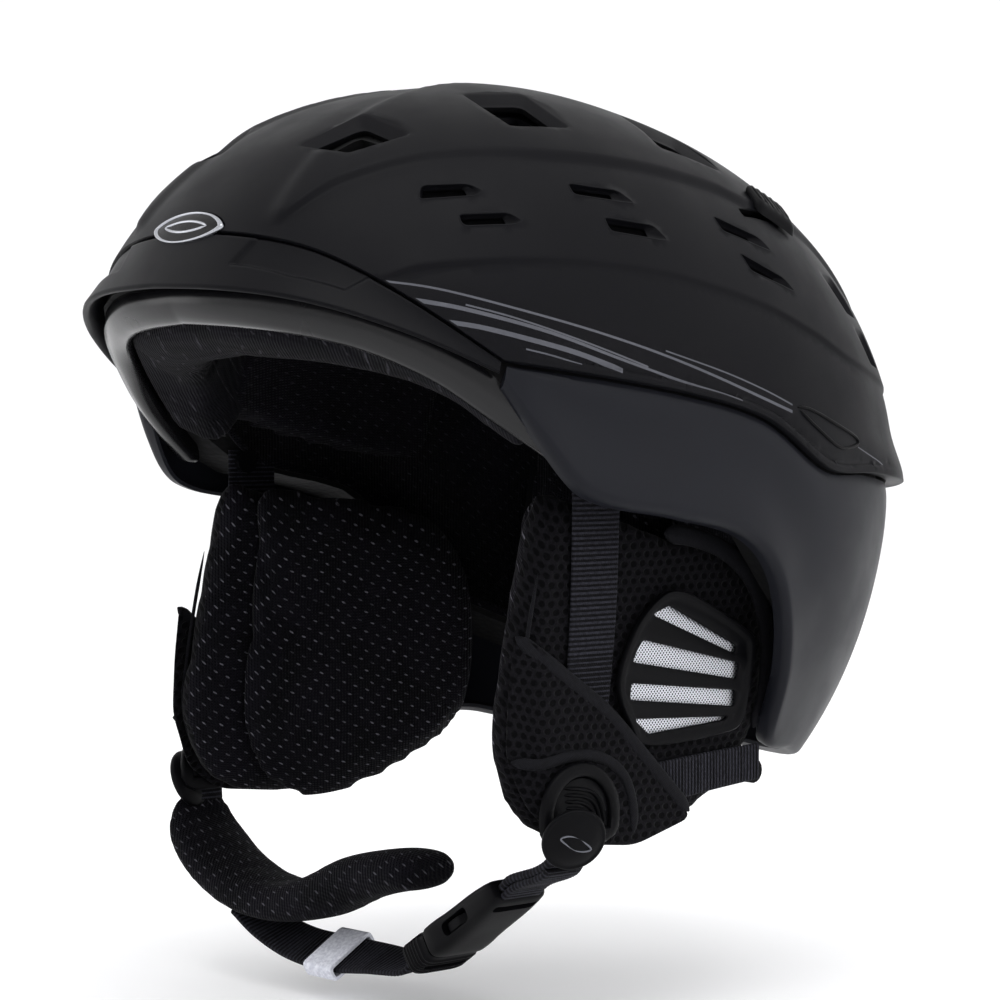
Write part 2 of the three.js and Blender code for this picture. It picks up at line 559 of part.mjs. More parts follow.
// In this group Y points away from the shell and -Z runs down along it.
const cylinderX = (r, long, y, z) => disc(r, -long / 2, long / 2, y, z, 20);
const standoff = CLIP.knuckle + CLIP.gap - 1;
add("clip_base", cut(
  join(box(CLIP.wide, standoff, 9, [0, standoff / 2 + 1.6, 0]), cylinderX(CLIP.knuckle, CLIP.wide, standoff + 1.6, 0)),
  cylinderX(CLIP.bore, CLIP.wide + 2, standoff + 1.6, 0),
  box(12, 14, 12, [0, standoff + 1.6, 0])), HARD_PLASTIC, clipGroup);
add("clip_pin", cylinderX(CLIP.pin, CLIP.wide - 0.4, standoff + 1.6, 0), STEEL, clipGroup);
add("clip_arm", cut(
  join(cylinderX(CLIP.knuckle - 0.6, 11, standoff + 1.6, 0),
    box(11, CLIP.wall, 10, [0, standoff + 1.6 + 1.6, -5]),
    box(CLIP.wide, CLIP.wall, CLIP.arm - 8, [0, standoff + 3.2, -8 - (CLIP.arm - 8) / 2])),
  cylinderX(CLIP.bore, 14, standoff + 1.6, 0)), HARD_PLASTIC, clipGroup);
add("clip_stud", box(16, standoff - 2, 8, [0, (standoff - 2) / 2 + 2.8, -CLIP.arm + 6]), HARD_PLASTIC, clipGroup);

export default helmet;
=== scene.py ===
"""The looks of a ski helmet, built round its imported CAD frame. Shapes are drawn in millimetres and angles in
degrees. Materials, floor, lights and camera are in metres."""
import math
from functools import partialmethod

import bmesh
import bpy
import numpy as np
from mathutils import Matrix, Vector
from mathutils.geometry import delaunay_2d_cdt
from mathutils.kdtree import KDTree


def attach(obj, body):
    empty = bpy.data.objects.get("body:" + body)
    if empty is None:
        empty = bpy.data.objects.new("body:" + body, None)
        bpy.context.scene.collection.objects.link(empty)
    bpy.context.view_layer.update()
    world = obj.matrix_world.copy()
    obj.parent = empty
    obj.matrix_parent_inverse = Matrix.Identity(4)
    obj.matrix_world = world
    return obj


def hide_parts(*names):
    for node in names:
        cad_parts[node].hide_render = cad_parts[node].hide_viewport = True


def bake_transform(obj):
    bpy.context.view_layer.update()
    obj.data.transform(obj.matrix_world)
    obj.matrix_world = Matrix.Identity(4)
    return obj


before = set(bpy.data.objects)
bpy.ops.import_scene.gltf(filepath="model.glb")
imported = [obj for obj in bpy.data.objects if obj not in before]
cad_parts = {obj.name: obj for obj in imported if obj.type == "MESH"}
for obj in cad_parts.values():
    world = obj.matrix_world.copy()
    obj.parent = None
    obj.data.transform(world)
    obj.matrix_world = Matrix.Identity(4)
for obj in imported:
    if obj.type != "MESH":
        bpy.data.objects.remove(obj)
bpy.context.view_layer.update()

# ---------------------------------------------------------------- the dome
TILT = math.radians(11.5)
PLAN_POWER, RISE_POWER = 2.26, 2.1
SHELL = (110.0, 145.0, 144.0, 118.0, 150.0)  # half width, front, back, top, below
CAVITY = (87.0, 108.0, 114.0, 99.0, 175.0)
CORNER = 48.0
SEAM_GAP = 0.2
LOWER_STEP = -1.2
WALL = 2.4


def dome(polar, azimuth, off=0.0, form=SHELL):
    """Points of a form, grown by off, at angles from the crown and azimuths from the front."""
    p, a, off = np.broadcast_arrays(np.radians(np.asarray(polar, float)),
        np.radians(np.asarray(azimuth, float)), np.asarray(off, float))
    d = np.stack([np.sin(p) * np.sin(a), -np.sin(p) * np.cos(a), np.cos(p)], -1)
    half, front, back, top, below = form
    y = np.where(d[..., 1] < 0, front, back) + off
    z = np.where(d[..., 2] < 0, below, top) + off
    plan = (np.abs(d[..., 0]) / (half + off)) ** PLAN_POWER + (np.abs(d[..., 1]) / y) ** PLAN_POWER
    level = (plan ** (RISE_POWER / PLAN_POWER) + (np.abs(d[..., 2]) / z) ** RISE_POWER) ** (1 / RISE_POWER)
    q = d / level[..., None]
    c, s = math.cos(TILT), math.sin(TILT)
    return np.stack([q[..., 0], q[..., 1] * c + q[..., 2] * s, -q[..., 1] * s + q[..., 2] * c], -1)


def edge(*knots):
    """A smooth curve of polar angle over azimuth, the same on both sides."""
    k = np.array(knots, float)
    slope = np.array([(k[min(i + 1, len(k) - 1), 1] - k[max(i - 1, 0), 1]) / (k[min(i + 1, len(k) - 1),
        0] - k[max(i - 1, 0), 0]) for i in range(len(k))])

    def at(azimuth):
        a = np.abs((np.asarray(azimuth, float) + 180) % 360 - 180)
        i = np.clip(np.searchsorted(k[:, 0], a, side="left") - 1, 0, len(k) - 2)
        w = k[i + 1, 0] - k[i, 0]
        t = np.clip((a - k[i, 0]) / w, 0, 1)
        return (k[i, 1] * (1 + 2 * t) * (1 - t) ** 2 + slope[i] * w * t * (1 - t) ** 2 + k[i + 1,
            1] * t * t * (3 - 2 * t) + slope[i + 1] * w * t * t * (t - 1))

    return at


def away(azimuth):
    """How far an azimuth is from the front, 0 to 180."""
    return np.abs((np.asarray(azimuth, float) + 180) % 360 - 180)


front_seam = edge((0, 72), (20, 73.6), (32, 77), (CORNER, 83.6))
side_seam = edge((CORNER, 83.6), (80, 81), (97, 81.5), (114, 86.5), (128, 85), (150, 84), (180, 84))
lip = edge((0, 80), (22, 80.6), (36, 82.4), (CORNER, 85))
wing_edge = edge((CORNER, 85), (56, 92.5), (64, 98), (80, 98.4), (96, 99), (106, 104), (116, 116),
    (124, 126), (136, 125), (180, 121))
frame_edge = edge((0, 82.5), (26, 83.8), (38, 86.5), (48, 91), (60, 96.5))
foam_edge = edge((0, 78.6), (26, 79.8), (38, 82), (48, 86), (60, 93), (70, 96.5), (96, 97), (106, 101),
    (116, 109), (128, 114), (180, 117))
upper_crease = edge((16, 70), (20, 64.3), (24, 60.8), (30, 56.6), (38, 52.7), (47, 49.3), (62, 44.4),
    (78, 41), (96, 40), (108, 41.9), (122, 43.5), (136, 48), (150, 60), (165, 74), (180, 80))
lower_crease = edge((30, 76.6), (35, 73.6), (41, 71.2), (53, 67), (64, 64.2), (79, 62), (96, 62.1),
    (110, 64.6), (122, 67.7), (136, 69.6), (150, 71), (180, 72))


def seam(azimuth):
    return np.where(away(azimuth) <= CORNER, front_seam(azimuth), side_seam(azimuth))


def smooth(x, low=0.0, high=1.0):
    t = np.clip((np.asarray(x, float) - low) / (high - low), 0, 1)
    return t * t * (3 - 2 * t)


def relief(polar, azimuth):
    """How far the moulded relief of the upper shell stands off the plain dome."""
    a = away(azimuth)
    under = polar - upper_crease(azimuth)
    lead = smooth(a, 12.5, 16) * (1 - smooth(a, 150, 172))
    step = lead * (1.4 * (1 - smooth(under, -1.2, 1.2)) - 0.12 * np.exp(-((under - 1.3) / 0.9) ** 2))
    below = polar - lower_crease(azimuth)
    ridge = smooth(a, 28, 36) * (1 - smooth(a, 146, 166))
    fold = ridge * np.where(below < 0, 0.5 * np.exp(below / 4.5),
        0.5 * (1 - smooth(below, 0, 0.9)) - 0.4 * smooth(below, 0, 0.9) * np.exp(-np.maximum(below, 0) / 5))
    to_seam = seam(azimuth) - polar
    spoiler = 3.6 * smooth(a, 118, 140) * (1 - smooth(to_seam, 0, 9)) ** 1.5
    side = smooth(a, 50, 58) * (1 - smooth(a, 128, 140))
    groove = side * (0.22 * np.exp(-((to_seam - 1.0) / 0.3) ** 2)
        - 0.5 * np.exp(-((to_seam - 1.6) / 0.26) ** 2))
    return step + fold + spoiler + groove


# ---------------------------------------------------------------- meshes
MM = 0.001


def mesh_object(name, vertices, faces, scale=MM, split=False):
    """An object of a new mesh with outward normals; split cuts its many-sided faces into triangles."""
    mesh = bpy.data.meshes.new(name)
    mesh.from_pydata((np.asarray(vertices, float) * scale).tolist(), [],
        [tuple(int(i) for i in f) for f in faces])
    bm = bmesh.new()
    bm.from_mesh(mesh)
    if split:
        bmesh.ops.triangulate(bm, faces=[face for face in bm.faces if len(face.verts) > 4])
    bmesh.ops.recalc_face_normals(bm, faces=bm.faces)
    bm.to_mesh(mesh)
    bm.free()
    obj = bpy.data.objects.new(name, mesh)
    bpy.context.scene.collection.objects.link(obj)
    return obj


def link(name, vertices, faces, body, material, nodes=(), slot=None, face_material=None, sharp=35.0):
    """A piece from millimetre points, riding on its CAD body."""
    obj = mesh_object(name, vertices, faces)
    for m in material if isinstance(material, (list, tuple)) else [material]:
        obj.data.materials.append(m)
    if face_material is not None:
        obj.data.polygons.foreach_set("material_index", face_material)
    obj.data.shade_smooth()
    if sharp:
        obj.data.set_sharp_from_angle(angle=math.radians(sharp))
    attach(obj, body)
    if nodes:
        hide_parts(*nodes)
    return obj


def grid_faces(rows, columns, close_rows=False, close_columns=False):
    """Quads between rows x columns points, which may close on themselves."""
    faces = []
    for i in range(rows if close_rows else rows - 1):
        for j in range(columns if close_columns else columns - 1):
            k, m = (i + 1) % rows, (j + 1) % columns
            faces.append((i * columns + j, k * columns + j, k * columns + m, i * columns + m))
    return faces


def loft(rings, closed=False):
    """Points and faces through rings of points, with flat ends unless the last ring joins the first."""
    rings = np.asarray(rings, float)
    rows, columns = rings.shape[:2]
    faces = grid_faces(rows, columns, close_rows=closed, close_columns=True)
    if not closed:
        faces += [tuple(range(columns))[::-1], tuple((rows - 1) * columns + j for j in range(columns))]
    return rings.reshape(-1, 3), faces


def closed_grid(rows):
    """Points and faces through open rows: the last row joins the first, and both sides are capped."""
    grid = np.asarray(rows, float)
    count, columns = grid.shape[:2]
    left, right = (tuple(i * columns + j for i in range(count)) for j in (0, columns - 1))
    return grid.reshape(-1, 3), grid_faces(count, columns, close_rows=True) + [left, right[::-1]]


def joined(shapes):
    """Several shapes as one."""
    faces, total = [], 0
    for vertices, own in shapes:
        faces += [tuple(i + total for i in face) for face in own]
        total += len(vertices)
    return np.vstack([vertices for vertices, _ in shapes]), faces


def unit(vectors):
    """The vectors at length 1."""
    return vectors / np.linalg.norm(vectors, axis=-1, keepdims=True)


def circle(count):
    """Angles round a circle, in radians."""
    return np.linspace(0, 2 * math.pi, count, endpoint=False)


def squarish(turn, power):
    """Cosine and sine, drawn out towards the corners of a square."""
    c, s = np.cos(turn), np.sin(turn)
    return np.sign(c) * np.abs(c) ** power, np.sign(s) * np.abs(s) ** power


def travelled(points):
    """The distance along a path at each of its points."""
    return np.concatenate([[0], np.cumsum(np.linalg.norm(np.diff(points, axis=0), axis=1))])


def mirrored(points):
    return np.asarray(points, float) * (-1, 1, 1)


def rounded(corners, radius, steps=5):
    """A closed outline with its corners rounded off, the same number of points at each corner."""
    c = np.asarray(corners, float)
    out = []
    for i in range(len(c)):
        p, q, r = c[i - 1], c[i], c[(i + 1) % len(c)]
        u, v = p - q, r - q
        lu, lv = np.linalg.norm(u), np.linalg.norm(v)
        cut = min(radius, 0.45 * lu, 0.45 * lv)
        a, b = q + u / lu * cut, q + v / lv * cut
        for t in np.linspace(0, 1, steps):
            out.append((1 - t) ** 2 * a + 2 * t * (1 - t) * q + t * t * b)
    return np.array(out)


def subdivided(outline, longest):
    """The outline with points added on its long sides."""
    out = []
    for i in range(len(outline)):
        a, b = outline[i], outline[(i + 1) % len(outline)]
        n = max(1, int(math.ceil(np.linalg.norm(b - a) / longest)))
        out += [a + (b - a) * k / n for k in range(n)]
    return np.array(out)


def inside(points, outline):
    """Which points lie in an outline."""
    x, y = points[:, 0], points[:, 1]
    hit = np.zeros(len(points), bool)
    for (x0, y0), (x1, y1) in zip(outline, np.roll(outline, -1, 0)):
        if y0 == y1:
            continue
        cross = ((y0 > y) != (y1 > y)) & (x < (x1 - x0) * (y - y0) / (y1 - y0) + x0)
        hit ^= cross
    return hit


def spline(a, b, c, d, t):
    """The Catmull-Rom curve from b to c."""
    return 0.5 * (2 * b + (c - a) * t + (2 * a - 5 * b + 4 * c - d) * t ** 2
        + (3 * b - a - 3 * c + d) * t ** 3)


def even_steps(dense, count, endpoint=True):
    """A dense path resampled to equal steps."""
    run = travelled(dense)
    at = np.linspace(0, run[-1], count, endpoint=endpoint)
    return np.stack([np.interp(at, run, dense[:, k]) for k in range(dense.shape[1])], -1)


def smooth_path(points, count):
    """A smooth open curve through points, in equal steps."""
    p = np.asarray(points, float)
    p = np.vstack([2 * p[0] - p[1], p, 2 * p[-1] - p[-2]])
    dense = [spline(*p[i - 1:i + 3], t) for i in range(1, len(p) - 2) for t in np.linspace(0, 1, 24,
        endpoint=False)]
    return even_steps(np.array(dense + [p[-2]]), count)


def smooth_loop(points, count):
    """A smooth closed outline through a few corners, in equal steps."""
    p = np.asarray(points, float)
    dense = [spline(*(p[(i + k) % len(p)] for k in (-1, 0, 1, 2)), t) for i in range(len(p))
        for t in np.linspace(0, 1, 16, endpoint=False)]
    return even_steps(np.array(dense + [dense[0]]), count, False)


def between(points, outer, holes):
    """Which points lie in an outline and in none of its holes."""
    keep = inside(points, outer)
    for hole in holes:
        keep &= ~inside(points, hole)
    return keep


def lattice(low, high, pitch, squeeze):
    """Points of a triangular lattice over a rectangle."""
    rows = enumerate(np.arange(low[1], high[1], pitch * squeeze))
    columns = np.arange(low[0], high[0], pitch)
    return np.array([(x + (k % 2) * pitch / 2, y) for k, y in rows for x in columns]).reshape(-1, 2)


def thinned(points, others, gap):
    """The points that keep their distance from the others."""
    tree = KDTree(len(others))
    for i, p in enumerate(others):
        tree.insert((p[0], p[1], 0), i)
    tree.balance()
    return np.array([p for p in points if tree.find((p[0], p[1], 0))[2] > gap]).reshape(-1, 2)


def ring_edges(base, n):
    """The index pairs of a closed ring."""
    return [(base + i, base + (i + 1) % n) for i in range(n)]


def triangulated(points, edges, outer, holes, tolerance):
    """Triangles between an outline and its holes: the flat points, the faces and where each point went."""
    out = delaunay_2d_cdt([Vector(p) for p in points.tolist()], edges, [], 0, tolerance)
    flat_points = np.array([tuple(p) for p in out[0]])
    where = {int(o): i for i, originals in enumerate(out[3]) for o in originals}
    faces = np.array([f for f in out[2] if len(f) == 3])
    return flat_points, faces[between(flat_points[faces].mean(1), outer, holes)], where


# ---------------------------------------------------------------- materials
class Nodes:
    """Short hands for building a node material."""

    def __init__(self, name, color, roughness, metallic=0.0, **more):
        self.material = bpy.data.materials.new(name)
        self.material.use_nodes = True
        self.tree = self.material.node_tree
        self.shader = self.tree.nodes["Principled BSDF"]
        self.shader.inputs["Base Color"].default_value = (*color, 1)
        self.shader.inputs["Roughness"].default_value = roughness
        self.shader.inputs["Metallic"].default_value = metallic
        for key, value in more.items():
            self.shader.inputs[key.replace("_", " ")].default_value = value
        self.height = None

    def node(self, kind, **inputs):
        n = self.tree.nodes.new(kind)
        for key, value in inputs.items():
            self.set(n.inputs[key if key in n.inputs else key.replace("_", " ")], value)
        return n

    def set(self, socket, value):
        if isinstance(value, bpy.types.NodeSocket):
            self.tree.links.new(value, socket)
        else:
            socket.default_value = value

    def math(self, operation, a, b=0.0, c=0.0):
        n = self.tree.nodes.new("ShaderNodeMath")
        n.operation = operation
        for socket, value in zip(n.inputs, (a, b, c)):
            self.set(socket, value)
        return n.outputs[0]

    plus, minus = partialmethod(math, "ADD"), partialmethod(math, "SUBTRACT")
    times, over = partialmethod(math, "MULTIPLY"), partialmethod(math, "DIVIDE")

    def place(self):
        return self.tree.nodes.new("ShaderNodeTexCoord").outputs["Object"]

    def coordinates(self, axes="xyz"):
        n = self.node("ShaderNodeSeparateXYZ", Vector=self.place())
        return [n.outputs["xyz".index(a)] for a in axes]

    def noise(self, scale, detail=2.0, rough=0.5):
        n = self.node("ShaderNodeTexNoise", Vector=self.place(), Scale=scale, Detail=detail, Roughness=rough)
        return n.outputs["Fac"]

    def ramp(self, value, low, high, out_low=0.0, out_high=1.0):
        n = self.node("ShaderNodeMapRange", Value=value)
        n.interpolation_type = "SMOOTHSTEP"
        for key, v in (("From Min", low), ("From Max", high), ("To Min", out_low), ("To Max", out_high)):
            self.set(n.inputs[key], v)
        return n.outputs[0]

    def mix(self, factor, a, b):
        n = self.tree.nodes.new("ShaderNodeMix")
        n.data_type = "RGBA"
        self.set(n.inputs[0], factor)
        for socket, value in ((n.inputs[6], a), (n.inputs[7], b)):
            self.set(socket, value if isinstance(value, bpy.types.NodeSocket) else (*value, 1))
        return n.outputs[2]

    def color(self, socket):
        self.tree.links.new(socket, self.shader.inputs["Base Color"])

    def roughness(self, socket):
        self.tree.links.new(socket, self.shader.inputs["Roughness"])

    def bump(self, height, distance, strength=1.0):
        n = self.node("ShaderNodeBump", Height=height, Distance=distance, Strength=strength)
        if self.height is not None:
            self.tree.links.new(self.height, n.inputs["Normal"])
        self.height = n.outputs[0]
        self.tree.links.new(self.height, self.shader.inputs["Normal"])


def tone(value):
    """A display grey or colour, 0 to 255, as linear light."""
    v = np.asarray(value, float) / 255
    return tuple(np.where(v <= 0.04045, v / 12.92, ((v + 0.055) / 1.055) ** 2.4).tolist())


def moulded(name, color, roughness, grain=0.00003, scale=2600, spread=0.05, **more):
    """Moulded plastic: a fine leathery grain with small changes in gloss and tone."""
    m = Nodes(name, color, roughness, **more)
    fine = m.noise(scale, 3, 0.6)
    broad = m.noise(35, 3, 0.55)
    m.roughness(m.ramp(broad, 0.3, 0.7, roughness - spread, roughness + spread))
    m.color(m.mix(m.ramp(broad, 0.25, 0.75), [c * 0.93 for c in color], [min(1, c * 1.07) for c in color]))
    m.bump(fine, grain)
    return m.material


MATTE = moulded("matte_black_shell", tone((13, 13, 16)), 0.46, Specular_IOR_Level=0.06)
WING = moulded("blue_grey_wing", tone((22, 23, 28)), 0.42, Specular_IOR_Level=0.1)
PRINT = moulded("grey_print", tone((78, 79, 85)), 0.42, grain=0.00001, Specular_IOR_Level=0.14)
BRIM_BLACK = moulded("brim_black", tone((11, 11, 14)), 0.4, Specular_IOR_Level=0.06)
GLOSS_FRAME = moulded("gloss_frame", tone((13, 13, 15)), 0.24, grain=0.000015, scale=900, spread=0.04,
    Specular_IOR_Level=0.3)
PLASTIC = moulded("black_plastic", tone((7, 7, 9)), 0.42, Specular_IOR_Level=0.06)
GREY_PLASTIC = moulded("grey_plastic", tone((86, 88, 96)), 0.45)
# Near-black painted shade for the inner walls of the vents, slits and bores, and for the slits' floors.
VENT_PAINTED_SHADE = moulded("vent_inside_painted_shade", tone((3, 3, 4)), 0.8, Specular_IOR_Level=0.04)


# ---------------------------------------------------------------- upper shell
def flat(polar, azimuth):
    """Polar angle and azimuth as a point of the flat drawing that the shell is meshed in."""
    a = np.radians(azimuth)
    return np.stack([polar * np.sin(a), -polar * np.cos(a)], -1)


def unflat(points):
    points = np.asarray(points, float)
    return np.hypot(points[..., 0], points[..., 1]), np.degrees(np.arctan2(points[..., 0], -points[..., 1]))


def corners(*pairs):
    p = np.array(pairs, float)
    return flat(p[:, 0], p[:, 1])


def flipped(outline):
    return (outline * (-1, 1))[::-1]


# Each vent: its outer outline, its inner outline, corner radius and whether it goes through.
LARGE = [(corners((56.9, 9.2), (48.2, 15.2), (52.2, 27.6), (58.7, 20.0)),
    corners((57.4, 11.8), (50.8, 17.0), (53.7, 25.8), (58.5, 19.9))),
    (corners((36.6, 27.6), (28.6, 40.5), (38.8, 55.0), (44.5, 42.0)),
    corners((38.2, 30.4), (31.8, 41.2), (39.6, 53.3), (44.2, 42.2))),
    (corners((17.5, 84.0), (22.0, 116.0), (34.6, 108.5), (33.4, 83.0)), corners((21.0, 84.6), (25.6, 108.0),
    (34.3, 103.5), (33.1, 83.6))),]
REAR = [(corners((53.0, 126.0), (53.4, 133.5), (60.6, 136.0), (60.0, 129.5)),
    corners((54.2, 128.0), (54.4, 132.5), (60.2, 135.2), (59.8, 130.0))),
    (corners((62.0, 130.5), (62.4, 137.0), (68.2, 139.5), (68.0, 133.0)),
    corners((62.9, 132.0), (63.3, 136.5), (67.9, 139.0), (67.8, 133.6))),
    (corners((57.5, 157.0), (57.0, 172.5), (70.5, 172.5), (71.0, 160.5)),
    corners((59.5, 159.5), (59.5, 171.5), (69.6, 171.8), (70.2, 161.5))),]
SLITS = [corners((61.3, 32.0), (58.8, 38.6), (59.4, 41.3), (60.9, 40.2), (64.1, 32.6)),
    corners((64.6, 38.2), (61.8, 45.4), (62.6, 48.0), (63.9, 46.4), (66.5, 39.5)),
    corners((52.6, 53.9), (50.0, 64.6), (51.5, 68.2), (52.5, 65.0), (54.8, 55.4)),
    corners((56.8, 60.8), (54.6, 71.6), (56.6, 74.7), (57.4, 72.1), (59.3, 62.3)),
    corners((47.2, 89.6), (49.0, 103.8), (51.6, 106.4), (51.2, 101.6), (50.3, 91.0)),
    corners((53.6, 93.8), (56.3, 106.4), (58.7, 108.8), (58.3, 106.0), (57.0, 95.8)),]
STRIPES = [([(76.5, 31.6), (76.0, 37.9), (76.0, 48.8), (76.0, 61.3), (76.35, 73.2), (77.3, 85.7),
    (79.2, 102.4)], 0.14, 0.24), ([(75.6, 73.1), (76.0, 85.7), (76.9, 95.0), (78.1, 102.4)], 0.12, 0.14),
    ([(78.3, 34.0), (78.0, 38.0), (77.85, 43.0), (78.05, 54.0), (78.95, 65.1), (79.45, 75.4), (79.4, 85.0),
    (79.7, 90.0)], 0.3, 0.14), ([(77.25, 42.0), (77.35, 49.0), (78.0, 59.3), (78.9, 70.0)], 0.12, 0.14),
    ([(80.3, 38.0), (79.95, 41.6), (79.75, 44.7), (79.75, 50.3), (79.85, 57.4), (80.3, 63.0), (80.6, 65.6)],
    0.3, 0.4), ([(81.2, 50.7), (81.15, 54.4), (81.25, 59.0)], 0.12, 0.1),
    ([(81.7, 122.0), (83.2, 130.5)], 0.1, 0.1),]
BADGE_RADII = (7.2, 2.35)
BADGE_POLAR = 71.6


def lens(turns, share=1.0, grow=0.0):
    """The badge's outline: an oval with drawn-out tips."""
    return (BADGE_POLAR + (BADGE_RADII[1] * share + grow) * np.sin(turns) * np.abs(np.sin(turns)) ** 0.3,
        (BADGE_RADII[0] * share + grow) * np.cos(turns))


BADGE_HOLE = flat(*lens(circle(48), 1.0, 0.25))
KNOB_SLOT = corners((43.0, 102.5), (42.6, 117.0), (44.6, 117.0), (45.0, 102.5))


def stripe_outline(path, start, end):
    p = smooth_path(path, 2 + int(abs(path[-1][1] - path[0][1]) / 1.6))
    half = np.linspace(start, end, len(p))
    half[len(p) // 2:] = np.maximum(half[len(p) // 2:], 0.6 * (start + end) / 2)
    sides = []
    for side in (p + np.stack([-half, 0 * half], -1), p + np.stack([half, 0 * half], -1)):
        room = seam(side[:, 1]) - 0.55 - side[:, 0]
        first = int(np.argmax(room > 0))
        if first:
            share = room[first] / (room[first] - room[first - 1])
            side = np.vstack([side[first] + (side[first - 1] - side[first]) * share, side[first:]])
        sides.append(flat(side[:, 0], side[:, 1]))
    return np.vstack([sides[0], sides[1][::-1]])


def shrunk(outline, by):
    """The outline drawn in by a distance, along the bisector at each point."""
    before, after = np.roll(outline, 1, 0), np.roll(outline, -1, 0)
    t = after - before
    t /= np.maximum(np.linalg.norm(t, axis=1), 1e-9)[:, None]
    normal = np.stack([-t[:, 1], t[:, 0]], -1)
    area = np.sum(outline[:, 0] * np.roll(outline[:, 1], -1) - np.roll(outline[:, 0], -1) * outline[:, 1])
    return outline + normal * by * (1 if area > 0 else -1)


def vent_rings(outer, inner, kind):
    """The rings that an opening's wall goes through, as (outline, depth) from the outside in."""
    if kind == "through":
        return [(shrunk(outer, 0.12), -0.08), (outer * 0.75 + inner * 0.25, -0.35),
            (inner * 0.75 + outer * 0.25, -1.1), (inner, -1.6), (shrunk(inner, 0.05), -1.8),
            (shrunk(inner, 0.1), -3.2)], [(shrunk(inner, -0.55), -3.2), (shrunk(inner, -0.6), -2.9)]
    return [(shrunk(outer, 0.1), 0.16), (shrunk(outer, 0.24), 0.1), (inner * 0.4 + outer * 0.6, -0.9),
        (inner, -1.9), (shrunk(inner, 0.05), -2.1), (inner, -3.0)], [(shrunk(inner, -0.4), -3.25)]


def slit_inner(outer):
    """A slit's dark hole: its outline without the tapered tail. Its dark is painted shade on the walls and
    floor.
    """
    c = outer.copy()
    c[1] = outer[0] * 0.12 + outer[1] * 0.88
    c[3] = outer[4] * 0.1 + outer[3] * 0.9
    c[2] = (c[1] + c[3]) / 2 + (c[1] - outer[0]) * 0.02
    return shrunk(rounded(c, 0.5, 4), 0.2)


